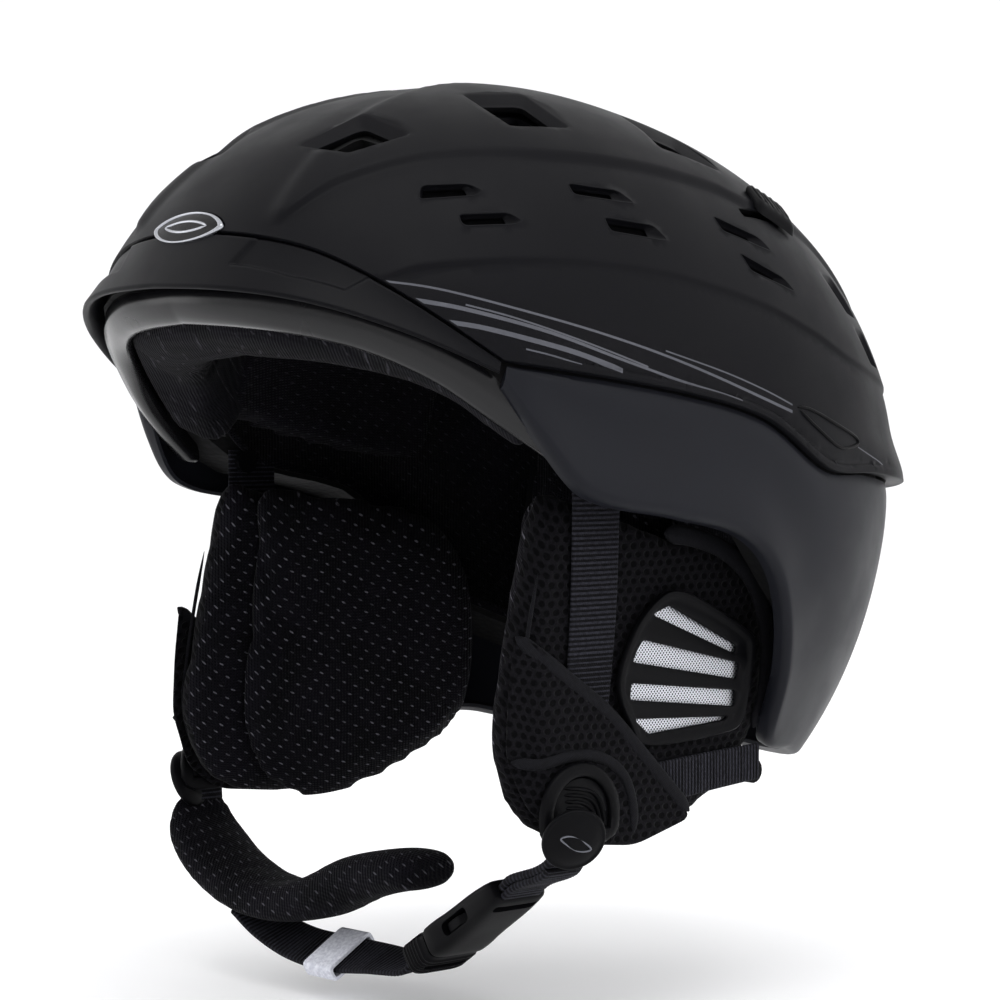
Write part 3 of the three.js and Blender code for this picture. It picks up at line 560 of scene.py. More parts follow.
def upper_shell():
    """The shell is meshed flat, with vents and printed stripes as outlines in the drawing, then raised."""
    openings = []
    for pair in LARGE + REAR:
        outer, inner = (subdivided(rounded(c, 1.3, 5), 50) for c in pair)
        openings.append((outer, inner, "through"))
    for c in SLITS:
        openings.append((rounded(c, 1.0, 4), slit_inner(c), "slit"))
    openings += [(flipped(a), flipped(b), kind) for a, b, kind in openings]
    bores = [subdivided(rounded(KNOB_SLOT, 0.9, 5), 1.2)]
    bores += [flipped(bores[0]), BADGE_HOLE]
    stripes = [stripe_outline(*s) for s in STRIPES]
    stripes += [flipped(s) for s in stripes]
    azimuths = np.unique(np.concatenate([np.arange(-180, 180, 1.25), [-CORNER, CORNER]]))
    rim = flat(seam(azimuths) - SEAM_GAP - 0.12, azimuths)
    loops = [rim] + [o[0] for o in openings] + bores + stripes
    fixed, edges, spans = [], [], []
    for loop in loops:
        base = len(fixed)
        fixed += loop.tolist()
        edges += ring_edges(base, len(loop))
        spans.append((base, len(loop)))
    for crease, first, last, offsets in ((upper_crease, 15, 156, (-1.3, -0.9, -0.45, 0.0, 0.45, 0.9, 1.35)),
            (lower_crease, 31, 150, (-0.5, -0.05, 0.25, 0.55, 0.95))):
        for sign in (-1, 1):
            for offset in offsets:
                along = np.arange(first, last, 1.0)
                base = len(fixed)
                fixed += (flat(crease(along) + offset, along) * (sign, 1)).tolist()
                edges += [(base + i, base + i + 1) for i in range(len(along) - 1)]
    fixed = np.array(fixed)
    side = np.arange(50, 140, 0.9)
    free = np.vstack([flat(side_seam(side) - offset, side) for offset in (0.9, 1.3, 1.55, 1.8, 2.1)])
    free = np.vstack([free, free * (-1, 1)])
    free = thinned(free, fixed, 0.3)
    spread = thinned(lattice((-90, -90), (90, 90), 1.15, 0.866), np.vstack([fixed, free]), 0.62)
    points = np.vstack([fixed, free, spread])
    polar, azimuth = unflat(points)
    keep = np.arange(len(points)) < len(fixed)
    keep |= polar < seam(azimuth) - SEAM_GAP - 0.6
    holes = [o[0] for o in openings] + bores
    for outline in holes:
        hole = inside(points, outline)
        hole[:len(fixed)] = False
        keep &= ~hole
    flat_points, faces, where = triangulated(points[keep], edges, rim, holes, 1e-5)
    centre = flat_points[faces].mean(1)
    printed = np.zeros(len(faces), int)
    for s in stripes:
        printed[inside(centre, s)] = 1
    polar, azimuth = unflat(flat_points)
    height = relief(polar, azimuth)
    n = len(flat_points)
    vertices = [dome(polar, azimuth, height), dome(polar, azimuth, np.full(n, -WALL))]
    all_faces = faces.tolist() + (faces[:, ::-1] + n).tolist()
    marks = printed.tolist() + [0] * len(faces)
    total = 2 * n

    def ring(outline, off):
        nonlocal total
        p, a = unflat(outline)
        vertices.append(dome(p, a, off))
        total += len(outline)
        return list(range(total - len(outline), total))

    def bridge(one, two, mark):
        for i in range(len(one)):
            j = (i + 1) % len(one)
            all_faces.append((one[i], one[j], two[j], two[i]))
            marks.append(mark)

    loops_at = [[where[base + i] for i in range(count)] for base, count in spans]
    start = loops_at[0]
    p, a = unflat(flat_points[start])
    last = start
    for down, off in ((0.1, relief(p, a) - 0.3), (0.14, relief(p, a) - 0.9), (0.14, -WALL + 0.2)):
        now = ring(flat(p + down, a), off)
        bridge(last, now, 0)
        last = now
    bridge(last, [i + n for i in start], 0)
    for k, (outer, inner, kind) in enumerate(openings):
        top = loops_at[1 + k]
        base = relief(*unflat(outer))
        down, up = vent_rings(outer, inner, kind)
        last = top
        for m, (outline, off) in enumerate(down):
            now = ring(outline, base + off if off > -1 else off)
            # The deeper rings take the near-black painted shade.
            bridge(last, now, 2 if m >= 5 else 0)
            last = now
        # A slit is closed by a floor of painted shade.
        if kind == "slit":
            all_faces.append(tuple(last))
            marks.append(2)
        under = [i + n for i in top]
        # The underside rings of the openings are painted shade too.
        for m, (outline, off) in enumerate(up):
            now = ring(outline, off)
            if kind == "through" or m:
                bridge(last, now, 2)
            else:
                all_faces.append(tuple(now)[::-1])
                marks.append(2)
            last = now
        bridge(last, under, 2)
    for k, outline in enumerate(bores):
        top = loops_at[1 + len(openings) + k]
        down = ring(shrunk(outline, 0.08), -0.4)
        bridge(top, down, 0)
        # A bore's lower wall takes the painted shade.
        bridge(down, [i + n for i in top], 2)
    return np.vstack(vertices), all_faces, marks


v, f, marks = upper_shell()
link("shell_upper", v, f, "helmet", [MATTE, PRINT, VENT_PAINTED_SHADE], ["upper_shell"], "matte_shell", marks,
    sharp=40)


INSET = smooth_path([(78.3, 103.6), (78.0, 107), (79.1, 114.3), (80.4, 121.4), (81.6, 121.0), (82.6, 115.8),
    (80.6, 109), (78.7, 104.4)], 70)


def inset_rim():
    """The rounded rim of the small recess near the rear of the side."""
    path = dome(INSET[:, 0], INSET[:, 1], relief(INSET[:, 0], INSET[:, 1]) + 0.1)
    return tube(path, 0.55, 0.55, unit(path), 8)


# ---------------------------------------------------------------- lower shell
def lower_shell():
    """From the seam down to the wing's edge, whose rim rolls inward."""
    s = np.linspace(0, 1, 211)
    top_azimuth = np.interp(s, [0, 0.1, 0.25, 0.55, 0.75, 1], [CORNER + 0.5, 55, 70, 105, 130, 180])
    low_azimuth = np.interp(s, [0, 0.1, 0.25, 0.4, 0.55, 0.68, 0.78, 1], [CORNER + 0.5, 55, 68, 88, 104, 117,
        130, 180])
    rows = []
    top = side_seam(top_azimuth) + SEAM_GAP
    low = wing_edge(low_azimuth)
    flare = 1.6 * smooth(low_azimuth, 50, 62) * (1 - smooth(low_azimuth, 112, 126))
    for u, off in ((0.0, -1.9), (0.0, -1.3), (0.02, -0.75), (0.05, -0.5)):
        rows.append(dome(top + (low - top) * u + (0.25 if u == 0.02 else 0), top_azimuth, LOWER_STEP + off))
    for u in np.linspace(0.08, 1, 26):
        polar = top + (low - top) * u
        azimuth = top_azimuth + (low_azimuth - top_azimuth) * u
        hollow = -1.1 * math.sin(math.pi * u) ** 2 * smooth(s, 0.05, 0.2) * (1 - smooth(s, 0.5, 0.75))
        rows.append(dome(polar, azimuth,
            LOWER_STEP - 0.5 * (1 - smooth(u, 0, 0.2)) + hollow + flare * u ** 3))
    outer = np.array(rows)
    rim = outer[-1]
    along = unit(np.gradient(rim, axis=0))
    down = unit(rim - outer[-2])
    inward = unit(np.cross(along, down))
    inward *= np.sign(np.sum(inward * -rim * (1, 1, 0), axis=1))[:, None]
    round_radius = 3.2
    rolled = []
    for t in np.linspace(18, 90, 5):
        t = math.radians(t)
        rolled.append(rim + round_radius * (down * math.sin(t) + inward * (1 - math.cos(t))))
    last = rolled[-1]
    rolled.append(last + inward * 2.4)
    rolled.append(last + inward * 3.0 - down * 1.2)
    back = [last + inward * 0.6 - down * 4.0]
    rows = list(outer) + rolled + back
    inner_top = dome(top, top_azimuth, LOWER_STEP - WALL)
    inner_mid = dome(top + (low - top) * 0.5, (top_azimuth + low_azimuth) / 2, LOWER_STEP - WALL)
    rows += [inner_mid, inner_top]
    half = np.array(rows)
    whole = np.concatenate([half, mirrored(half)[:, -2::-1]], axis=1)
    return closed_grid(whole)


link("shell_lower", *lower_shell(), "helmet", WING, ["lower_shell"], "wing_shell", sharp=50)


# ---------------------------------------------------------------- brim and brow frame
RECESS = corners((71.0, 14.2), (77.0, 11.6), (77.9, 20.2), (78.6, 27.3), (76.3, 29.6), (71.5, 20.4))


def distance_inside(points, outline):
    """Signed distance to an outline's border, positive inside."""
    best = np.full(len(points), 1e9)
    for a, b in zip(outline, np.roll(outline, -1, 0)):
        ab = b - a
        t = np.clip(((points - a) @ ab) / (ab @ ab), 0, 1)
        best = np.minimum(best, np.linalg.norm(points - (a + t[:, None] * ab), axis=1))
    return np.where(inside(points, outline), best, -best)


def brow_ease(azimuth):
    """1 in the middle of the brow, falling to 0 at the brim's corners."""
    return np.cos(np.radians(np.clip(away(azimuth) / CORNER * 90, 0, 90)))


def flare(u, azimuth):
    """How far the brim stands off the dome, from 0 at its top to its full flare at its tip."""
    return 2.9 * u * u * brow_ease(azimuth) ** 0.6


def brim():
    azimuth = np.linspace(-CORNER + 0.35, CORNER - 0.35, 361)
    rows = []
    closed = smooth(away(azimuth), 12.6, 14.2) * (1 - smooth(away(azimuth), 28.6, 30.4))
    top = front_seam(azimuth) + SEAM_GAP - 0.24 * closed
    low = lip(azimuth)
    for u in np.concatenate([[0, 0, 0.02, 0.045], np.linspace(0.08, 0.985, 44)]):
        polar = top + (low - top) * u
        p = flat(polar, azimuth)
        sunk = sum(smooth(distance_inside(p, o), -0.3, 0.3) for o in (RECESS, flipped(RECESS)))
        off = flare(u, azimuth) - 0.95 * sunk
        if len(rows) < 3:
            off = off + (-1.6, -0.6, -0.12)[len(rows)]
        rows.append(dome(polar, azimuth, off))
    tip, ease = flare(1, azimuth), brow_ease(azimuth)
    for down, back in ((0.12, 0.15), (0.3, 0.7), (0.3, 1.5), (0.05, 2.2)):
        rows.append(dome(low + down, azimuth, tip - back))
    for u, deep in ((0.97, 2.4), (0.9, 2.9), (0.75, 3.0), (0.5, 2.6), (0.2, WALL), (0.03, WALL)):
        rows.append(dome(top + (low - top) * u, azimuth,
            flare(u, azimuth) - deep * (0.5 + 0.5 * ease) - 1.2 * (1 - ease)))
    return closed_grid(rows)


link("brim_lip", *brim(), "helmet", BRIM_BLACK, ["brim"], "matte_shell", sharp=50)


def brow_frame():
    """A glossy rounded ring under the brim, with a stepped sill on each side."""
    azimuth = np.linspace(-61, 61, 245)
    top = foam_edge(azimuth) - 0.2
    low = frame_edge(azimuth)
    sill = smooth(away(azimuth), 10, 18)
    rows = []
    for u, off in ((0, -5.2), (0.25, -5.0), (0.5, -5.4), (0.72, -6.3), (0.88, -7.6), (1.0, -9.0),
            (1.1, -10.6), (1.13, -12.4), (1.1, -14.0), (0.98, -15.0), (0.8, -15.2), (0.4, -14.6), (0, -13.5)):
        notch = 0.35 * sill * math.sin(u * math.pi * 5) if 0 < u < 1 else 0
        rows.append(dome(top + (low - top) * u * 0.94, azimuth,
            off * (0.72 + 0.28 * np.cos(np.radians(azimuth))) - notch))
    return closed_grid(rows)


link("brow_ring", *brow_frame(), "helmet", GLOSS_FRAME, ["brow_frame"], "grey_trim", sharp=60)


# ---------------------------------------------------------------- fabric materials
SHEEN = {"Sheen_Weight": 0.02, "Sheen_Roughness": 0.4}


def pattern(m, u, v, pitch_u, pitch_v, half_u, half_v):
    """1 in the middle of staggered ovals, falling to 0 outside them. Lengths are in metres."""
    row = m.math("FLOOR", m.over(v, pitch_v))
    odd = m.times(m.math("FLOORED_MODULO", row, 2.0), 0.5)
    du = m.times(m.minus(m.math("FRACT", m.plus(m.over(u, pitch_u), odd)), 0.5), pitch_u / half_u)
    dv = m.times(m.minus(m.math("FRACT", m.over(v, pitch_v)), 0.5), pitch_v / half_v)
    return m.ramp(m.plus(m.times(du, du), m.times(dv, dv)), 1.5, 0.5)


def surface_axes(m, axes):
    """Two coordinates that run over a pad whose face spans the two axes, and go on round its edge."""
    along = dict(zip("xyz", m.coordinates()))
    depth = [a for a in "xyz" if a not in axes][0]
    wobble = m.times(m.minus(m.noise(55, 2), 0.5), 0.0022)
    return [m.plus(m.plus(along[axis], m.times(along[depth], share)), wobble) for axis,
        share in zip(axes, (0.8, 0.6))]


def knit(name, axes, fleck=0.4):
    """A dark rib knit with short pale stitches."""
    m = Nodes(name, tone((12, 11, 15)), 0.9, **SHEEN, Specular_IOR_Level=0.05)
    u, v = surface_axes(m, axes)
    lean = m.plus(v, m.times(u, 0.35))
    stitch = pattern(m, u, lean, 0.0050, 0.0034, 0.00085, 0.00030)
    loops = m.math("SINE", m.times(u, 2 * math.pi / 0.0013))
    rows = m.math("SINE", m.times(v, 2 * math.pi / 0.0010))
    worn = m.ramp(m.noise(420, 3), 0.35, 0.65, 0.2, 1.0)
    base = m.mix(m.ramp(m.noise(60, 3), 0.3, 0.7), tone((9, 9, 12)), tone((14, 13, 18)))
    m.color(m.mix(m.times(m.times(stitch, worn), fleck), base, tone((150, 148, 160))))
    m.bump(m.plus(loops, m.times(rows, 0.6)), 0.00016, 0.8)
    m.bump(stitch, 0.0003, 0.7)
    return m.material


def spacer(name, axes="yz"):
    """Spacer fabric: a springy knit full of small oval holes, painted near-black inside as shade."""
    m = Nodes(name, tone((14, 13, 17)), 0.85, **SHEEN, Specular_IOR_Level=0.06)
    u, v = surface_axes(m, axes)
    hole = pattern(m, u, v, 0.0038, 0.0027, 0.00128, 0.00095)
    yarn = m.noise(1500, 3, 0.65)
    base = m.mix(m.ramp(yarn, 0.35, 0.7), tone((8, 8, 10)), tone((19, 18, 22)))
    # The holes are painted near-black: painted shade in the pits of the knit.
    m.color(m.mix(hole, base, tone((1, 1, 2))))
    m.bump(m.minus(1.0, hole), 0.0005, 0.8)
    m.bump(yarn, 0.0001, 0.6)
    return m.material


def woven(name, dark, light, axis_pitch=0.0009):
    """Webbing yarn. Its ribs are in the mesh."""
    m = Nodes(name, dark, 0.75, **SHEEN, Specular_IOR_Level=0.08)
    y, z = m.coordinates("yz")
    yarn = m.math("SINE", m.times(m.plus(y, m.times(z, 0.8)), 2 * math.pi / axis_pitch))
    m.color(m.mix(m.ramp(m.noise(900, 3), 0.3, 0.7), dark, light))
    m.bump(yarn, 0.00006, 0.5)
    return m.material


KNIT_SIDE = knit("knit_side", "yz")
# Copies of the knit with few pale stitches: painted shade for the dim pads inside the helmet.
KNIT_DEEP_SHADED = knit("knit_deep_shaded", "yz", fleck=0.07)
KNIT_FRONT_SHADED = knit("knit_front_shaded", "xz", fleck=0.1)
KNIT_TOP = knit("knit_top", "xy")
KNIT_CHIN = knit("knit_chin", "xz", fleck=0.25)
SPACER = spacer("spacer_mesh")
# The webbing in two copies of one yarn: a darker one as painted shade between the ribs, and a lighter one as a
# painted highlight on their tops.
WEB_SHADED = woven("webbing_yarn_shaded", tone((5, 5, 7)), tone((10, 10, 13)))
RIB_HIGHLIGHT = woven("webbing_rib_highlight", tone((28, 28, 34)), tone((42, 42, 49)))
WEBBING = [WEB_SHADED, RIB_HIGHLIGHT]
SOFT_BAND = woven("soft_band", tone((12, 12, 15)), tone((18, 18, 22)), 0.0006)


def gauze_material():
    m = Nodes("steel_gauze", tone((186, 187, 194)), 0.32, 0.85)
    y, z = m.coordinates("yz")
    a = m.math("SINE", m.times(m.plus(y, z), 2 * math.pi / 0.0013))
    b = m.math("SINE", m.times(m.minus(y, m.times(z, 0.9)), 2 * math.pi / 0.0013))
    wires = m.math("MAXIMUM", a, b)
    m.color(m.mix(m.ramp(wires, -0.1, 0.5), tone((14, 14, 16)), tone((222, 223, 230))))
    m.bump(wires, 0.00012, 0.8)
    return m.material


def foam_material():
    m = Nodes("bead_foam", tone((20, 20, 23)), 0.85, Specular_IOR_Level=0.25)
    beads = m.node("ShaderNodeTexVoronoi", Vector=m.place(), Scale=380.0).outputs["Distance"]
    # Each bead is painted darker towards its border: painted shade between the beads.
    m.color(m.mix(m.ramp(beads, 0.0, 0.6), tone((12, 12, 14)), tone((5, 5, 6))))
    m.bump(m.minus(1.0, beads), 0.0004, 0.6)
    return m.material


GAUZE = gauze_material()
FOAM = foam_material()
CHROME = moulded("bright_steel", tone((176, 178, 184)), 0.24, grain=0.000006, metallic=1.0)
ENAMEL = moulded("dark_enamel", tone((10, 10, 12)), 0.3, grain=0.000004, Specular_IOR_Level=0.12)
LABEL = woven("label_satin", tone((196, 198, 209)), tone((222, 224, 232)), 0.0007)


def plain_node(name, material):
    """A CAD node that keeps its own mesh, with a finish."""
    obj = bpy.data.objects[name]
    obj.data.materials.clear()
    obj.data.materials.append(material)


# ---------------------------------------------------------------- more shapes
def roof(x, y, off):
    """Points of the shell, grown by off, above places in the dome's own level plane."""
    x, y, off = np.broadcast_arrays(np.asarray(x, float), np.asarray(y, float), np.asarray(off, float))
    half, front, back, top, _ = SHELL
    plan = ((np.abs(x) / (half + off)) ** PLAN_POWER
        + (np.abs(y) / (np.where(y < 0, front, back) + off)) ** PLAN_POWER)
    z = (top + off) * (1 - plan ** (RISE_POWER / PLAN_POWER)) ** (1 / RISE_POWER)
    c, s = math.cos(TILT), math.sin(TILT)
    return np.stack([x, y * c + z * s, -y * s + z * c], -1)


def on_side(u, v, w):
    """Drawn from the wearer's left: u is Y, v is Z and w is X."""
    return np.stack(np.broadcast_arrays(w, u, v), -1)


RISE = math.radians(33.5)


def on_buckle(s, y, n):
    """The buckle's own frame: s runs from the mouth into the socket, y is its width and n points outward."""
    s, y, n = np.broadcast_arrays(np.asarray(s, float), np.asarray(y, float), np.asarray(n, float))
    return np.stack([37 + s * math.cos(RISE) + n * math.sin(RISE), -50 + y,
        -148 + s * math.sin(RISE) - n * math.cos(RISE)], -1)


def slab(outline, place, low, high, holes=(), bevel=0.4, bulge=None, pitch=2.2):
    """A plate with bevelled edges and holes, whose top may bulge."""
    drawn = [np.asarray(outline, float)] + [np.asarray(h, float) for h in holes]
    inner = [shrunk(drawn[0], bevel)] + [shrunk(h, -bevel) for h in drawn[1:]]
    fixed = np.vstack(inner)
    edges, spans, base = [], [], 0
    for loop in inner:
        edges += ring_edges(base, len(loop))
        spans.append((base, len(loop)))
        base += len(loop)
    spread = lattice(fixed.min(0), fixed.max(0), pitch, 0.87)
    spread = thinned(spread[between(spread, inner[0], inner[1:])], fixed, pitch * 0.55)
    flat_points, faces, where = triangulated(np.vstack([fixed, spread]), edges, inner[0], inner[1:], 1e-6)
    lift = (lambda p: np.zeros(len(p))) if bulge is None else (lambda p: bulge(p[:, 0], p[:, 1]))
    n = len(flat_points)
    vertices = [place(flat_points[:, 0], flat_points[:, 1], high + lift(flat_points)),
        place(flat_points[:, 0], flat_points[:, 1], np.full(n, float(low)))]
    all_faces = faces.tolist() + (faces[:, ::-1] + n).tolist()
    total = 2 * n
    for loop, (start, count) in zip(drawn, spans):
        rings = [[where[start + i] for i in range(count)]]
        for w in (high - bevel + lift(loop), np.full(count, low + bevel * 0.7)):
            vertices.append(place(loop[:, 0], loop[:, 1], w))
            rings.append(list(range(total, total + count)))
            total += count
        rings.append([i + n for i in rings[0]])
        for one, two in zip(rings, rings[1:]):
            all_faces += [(one[i], one[(i + 1) % count], two[(i + 1) % count], two[i]) for i in range(count)]
    return np.vstack(vertices), all_faces


def both(name, shape, body, material, node, slot, **more):
    """The same piece on both sides."""
    v, f, *marks = shape
    side_body = (lambda s: body) if isinstance(body, str) else body
    made = []
    for side, points in (("left", v), ("right", mirrored(v))):
        made.append(link(f"{name}_{side}", points, f, side_body(side), material, [f"{node}_{side}"] if node
            else (), slot, *marks, **more))
    return made


def tube(path, radius_across, radius_out, out, sides=12):
    """A soft oval cord along a path; out points away from what it lies on."""
    path = np.asarray(path, float)
    out = np.broadcast_to(np.asarray(out, float), path.shape)
    across = unit(np.cross(unit(np.gradient(path, axis=0)), out))
    turn = circle(sides)
    ease = np.sqrt(np.clip(np.minimum(np.arange(len(path)), np.arange(len(path))[::-1]) / 3 + 0.02, 0, 1))
    rings = (path[:, None] + ease[:, None, None] * (np.cos(turn)[None, :, None] * radius_across * across[:,
        None] + np.sin(turn)[None, :, None] * radius_out * out[:, None]))
    return loft(rings)


def webbing(path, across, width, thick, pitch=1.6, rib=0.4, step=0.27):
    """A strap with raised cross ribs along a path. The third part marks the faces on top of the ribs, which
    take a painted highlight.
    """
    dense = smooth_path(path, 400)
    length = np.linalg.norm(np.diff(dense, axis=0), axis=1).sum()
    rows = smooth_path(dense[::8].tolist() + [dense[-1].tolist()], max(8, int(length / step)))
    across = np.asarray(across, float).reshape(-1, 3)
    stops = np.linspace(0, len(rows) - 1, len(across))
    across = unit(np.stack([np.interp(np.arange(len(rows)), stops, across[:, i]) for i in range(3)], -1))
    normal = unit(np.cross(unit(np.gradient(rows, axis=0)), across))
    run = travelled(rows)
    ridge = rib * (np.abs(np.cos(math.pi * run / pitch)) ** 0.8 - 0.6)
    width = np.interp(run, [0, run[-1]], np.broadcast_to(np.asarray(width, float), 2))
    share = np.array([-1, -0.97, -0.9, -0.45, 0, 0.45, 0.9, 0.97, 1.0])
    swell = np.array([0.0, 0.7, 1.0, 1.0, 1.0, 1.0, 1.0, 0.7, 0.0])
    selvage = np.array([0, 0, 0.25, 1, 1, 1, 0.25, 0, 0])
    top = [(s, thick / 2 * k, r) for s, k, r in zip(share, swell, selvage)]
    low = [(s, -thick / 2 * k, -r) for s, k, r in zip(share[::-1], swell[::-1], selvage[::-1])][1:-1]
    rings = []
    for i, p in enumerate(rows):
        rings.append([p + across[i] * s * width[i] / 2 + normal[i] * (h + r * ridge[i]) for s, h,
            r in top + low])
    vertices, faces = loft(rings)
    columns = len(top + low)
    lit_crest = np.repeat((ridge[:-1] + ridge[1:] > rib * 0.36).astype(int), columns)
    return vertices, faces, np.concatenate([lit_crest, [0, 0]])


def pillow(outline, low, high, low_radius, high_radius):
    """A closed cushion form with round edges, for the cloth to swell."""
    half = (high - low) / 2
    rings = []
    for t in np.linspace(-math.pi / 2, math.pi / 2, 11):
        o = shrunk(outline, (low_radius if t < 0 else high_radius) * (1 - math.cos(t)))
        rings.append(on_side(o[:, 0], o[:, 1], (low + high) / 2 + half * math.sin(t)))
    return loft(rings)


def stuffed(shape, voxel=4.0, pressure=4.0, cap=3.0, limit=None):
    """Swells a closed form as filled fabric. The cloth is blown up, its points move at most cap, and it
    stays in the limits, where it lies against its neighbours. Returns points in millimetres and faces."""
    obj = mesh_object("stuffing", *shape, split=True)
    scene = bpy.context.scene
    even = obj.modifiers.new("even", "REMESH")
    even.mode = "VOXEL"
    even.voxel_size = voxel * MM
    obj.data = bpy.data.meshes.new_from_object(obj.evaluated_get(bpy.context.evaluated_depsgraph_get()))
    obj.modifiers.clear()
    before = np.array([p.co for p in obj.data.vertices])
    after = before
    cloth = obj.modifiers.new("swell", "CLOTH")
    cloth.settings.use_pressure = True
    cloth.settings.uniform_pressure_force = pressure
    cloth.settings.effector_weights.gravity = 0
    for number in range(1, 21):
        scene.frame_set(number)
    done = obj.evaluated_get(bpy.context.evaluated_depsgraph_get()).to_mesh()
    after = np.array([p.co for p in done.vertices])
    scene.frame_set(1)
    obj.modifiers.clear()
    move = after - before
    size = np.linalg.norm(move, axis=1)
    move *= (np.minimum(size, cap * MM) / np.maximum(size, 1e-9))[:, None]
    points = before + move
    if limit is not None:
        points = np.clip(points, *(np.array(side) * MM for side in limit))
    obj.data.vertices.foreach_set("co", points.ravel())
    finer = obj.modifiers.new("finer", "SUBSURF")
    finer.levels = finer.render_levels = 1
    fine = bpy.data.meshes.new_from_object(obj.evaluated_get(bpy.context.evaluated_depsgraph_get()))
    points = np.array([p.co for p in fine.vertices]) * 1000
    faces = [tuple(p.vertices) for p in fine.polygons]
    bpy.data.objects.remove(obj)
    return points, faces


def cushion(name, form, swelling, body, material, node):
    """A stuffed pad on one body."""
    obj = link(name, *stuffed(form, *swelling), body, material, [node], "knit", sharp=None)


def strap(name, body, path, across, width, thick, nodes=()):
    """One piece of the chin webbing."""
    v, f, lit_crests = webbing(path, across, width, thick)
    return link(name, v, f, body, WEBBING, nodes, "webbing", lit_crests, sharp=None)


def band(name, path, radius_across, radius_out, sides=12):
    """A soft band that lies on both ear pads."""
    shape = tube(path, radius_across, radius_out, (1, 0, 0), sides)
    both(name, shape, "helmet", SOFT_BAND, None, "mesh_fabric", sharp=None)


ANY = 1e6  # stands for no limit


# ---------------------------------------------------------------- ear pads
PAD = smooth_loop([(-44, -7), (-55, -9), (-63, -36), (-69, -66), (-70.5, -86), (-63, -104), (-48, -114),
    (-20, -117), (8, -112), (28, -101), (41, -86), (46, -62), (42, -40), (26, -26), (0, -19), (-24, -12)], 96)
LINING = smooth_loop([(-30, -9), (-47, -11), (-51, -40), (-54.5, -70), (-54, -90), (-48, -105),
    (-38, -113.5), (-22, -118), (2, -115), (24, -108), (42, -99), (50, -84), (51, -56), (44, -34),
    (24, -18)], 84)


def knit_inside(shape):
    """The shape, with the faces that look towards the head marked for the knit."""
    vertices, faces = shape
    lean = -0.2
    marks = []
    for face in faces:
        a, b, c = (vertices[face[k]] for k in (0, 1, 2))
        normal = np.cross(b - a, c - a)
        marks.append(int(normal[0] < lean * np.linalg.norm(normal)))
    return vertices, faces, marks


PAD_FORM = stuffed(pillow(shrunk(PAD, 1.0), 70.8, 83.2, 15.0, 5.0), 4.0, 4.0, 2.5,
    ((70.1, -ANY, -ANY), (84.0, ANY, ANY)))
for made in both("ear_pad_cushion", knit_inside(PAD_FORM), "helmet", [SPACER, KNIT_SIDE], "ear_pad",
        "mesh_fabric", sharp=None):
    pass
for made in both("ear_lining_cushion", stuffed(pillow(shrunk(LINING, 1.0), 61.5, 69.4, 13.0, 2.5), 3.5, 4.0,
        3.0, ((59.5, -ANY, -ANY), (69.7, ANY, ANY))), "helmet", KNIT_SIDE, "ear_lining", "knit", sharp=None):
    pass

STRAP_X = 85.15
both("front_webbing", webbing([(STRAP_X, -34.5, 2.2), (STRAP_X, -35, -20), (STRAP_X, -36, -45),
    (STRAP_X, -38.5, -70), (STRAP_X, -42, -95.5)], (0, 1, 0), (20.0, 18.0), 1.1, 1.5, 0.4, 0.25), "helmet",
    WEBBING, "front_strap", "webbing", sharp=None)
both("rear_webbing", webbing([(STRAP_X, -32.6, -100.5), (STRAP_X, -10, -98.4), (STRAP_X, 13, -96.4),
    (STRAP_X, 36.5, -94.8)], (0, 0, 1), (14.0, 11.5), 1.1, 1.4, 0.34, 0.24), "helmet", WEBBING, "rear_strap",
    "webbing", sharp=None)


def flap_bulge(y, z):
    return 0.5 * np.exp(-((y + 42) ** 2 + (z + 84) ** 2) / 900)


FLAP = subdivided(rounded([(-66, -48.5), (-31, -74), (5, -109.5), (-20, -116), (-48, -113), (-62, -103),
    (-69.5, -86), (-68.5, -66)], 5, 6), 3)


def on_pad(y, z, w):
    """Over the pad's face, and bent in round its front edge."""
    return on_side(y, z, w - 3.6 * smooth(-np.asarray(y, float), 57, 69.5))


both("flap_panel", slab(FLAP, on_pad, 86.2, 87.3, bevel=0.5, bulge=flap_bulge), "helmet", SPACER, "pad_flap",
    "mesh_fabric", sharp=60)
FLAP_EDGE = smooth_path([(84.2, -66.6, -50.2), (86.9, -56, -58), (87.1, -48, -63.5), (87.1, -31, -75.2),
    (87.1, -14, -91), (87.1, 3.4, -107.6)], 60)
band("flap_piping", FLAP_EDGE, 2.3, 1.0)
WELT = smooth_path([(84.4, -68.6, -87), (87.8, -60, -88), (87.9, -48, -86.6), (87.9, -36, -87.6),
    (87.8, -26, -93.5), (87.6, -21.5, -103), (87.4, -21, -112)], 50)
band("divider_welt", WELT, 1.7, 0.9)
RIM_BAND = smooth_path([(83.4, -4, -21.5), (83.6, 8, -23), (83.6, 22, -27.5), (83.4, 34, -36),
    (83.0, 41, -48), (82.8, 43.2, -62), (82.8, 41.2, -76), (82.6, 37, -84.5)], 70)
band("pad_piping", RIM_BAND, 3.1, 1.6)
EDGE_SEAM = shrunk(PAD, 5.4)
EDGE_SEAM = EDGE_SEAM[(EDGE_SEAM[:, 0] < -50) & (EDGE_SEAM[:, 1] < -30)]
EDGE_SEAM = EDGE_SEAM[np.argsort(EDGE_SEAM[:, 1])[::-1]]
band("pad_seam", on_side(EDGE_SEAM[:, 0], EDGE_SEAM[:, 1], 82.9), 0.7, 0.5, 8)

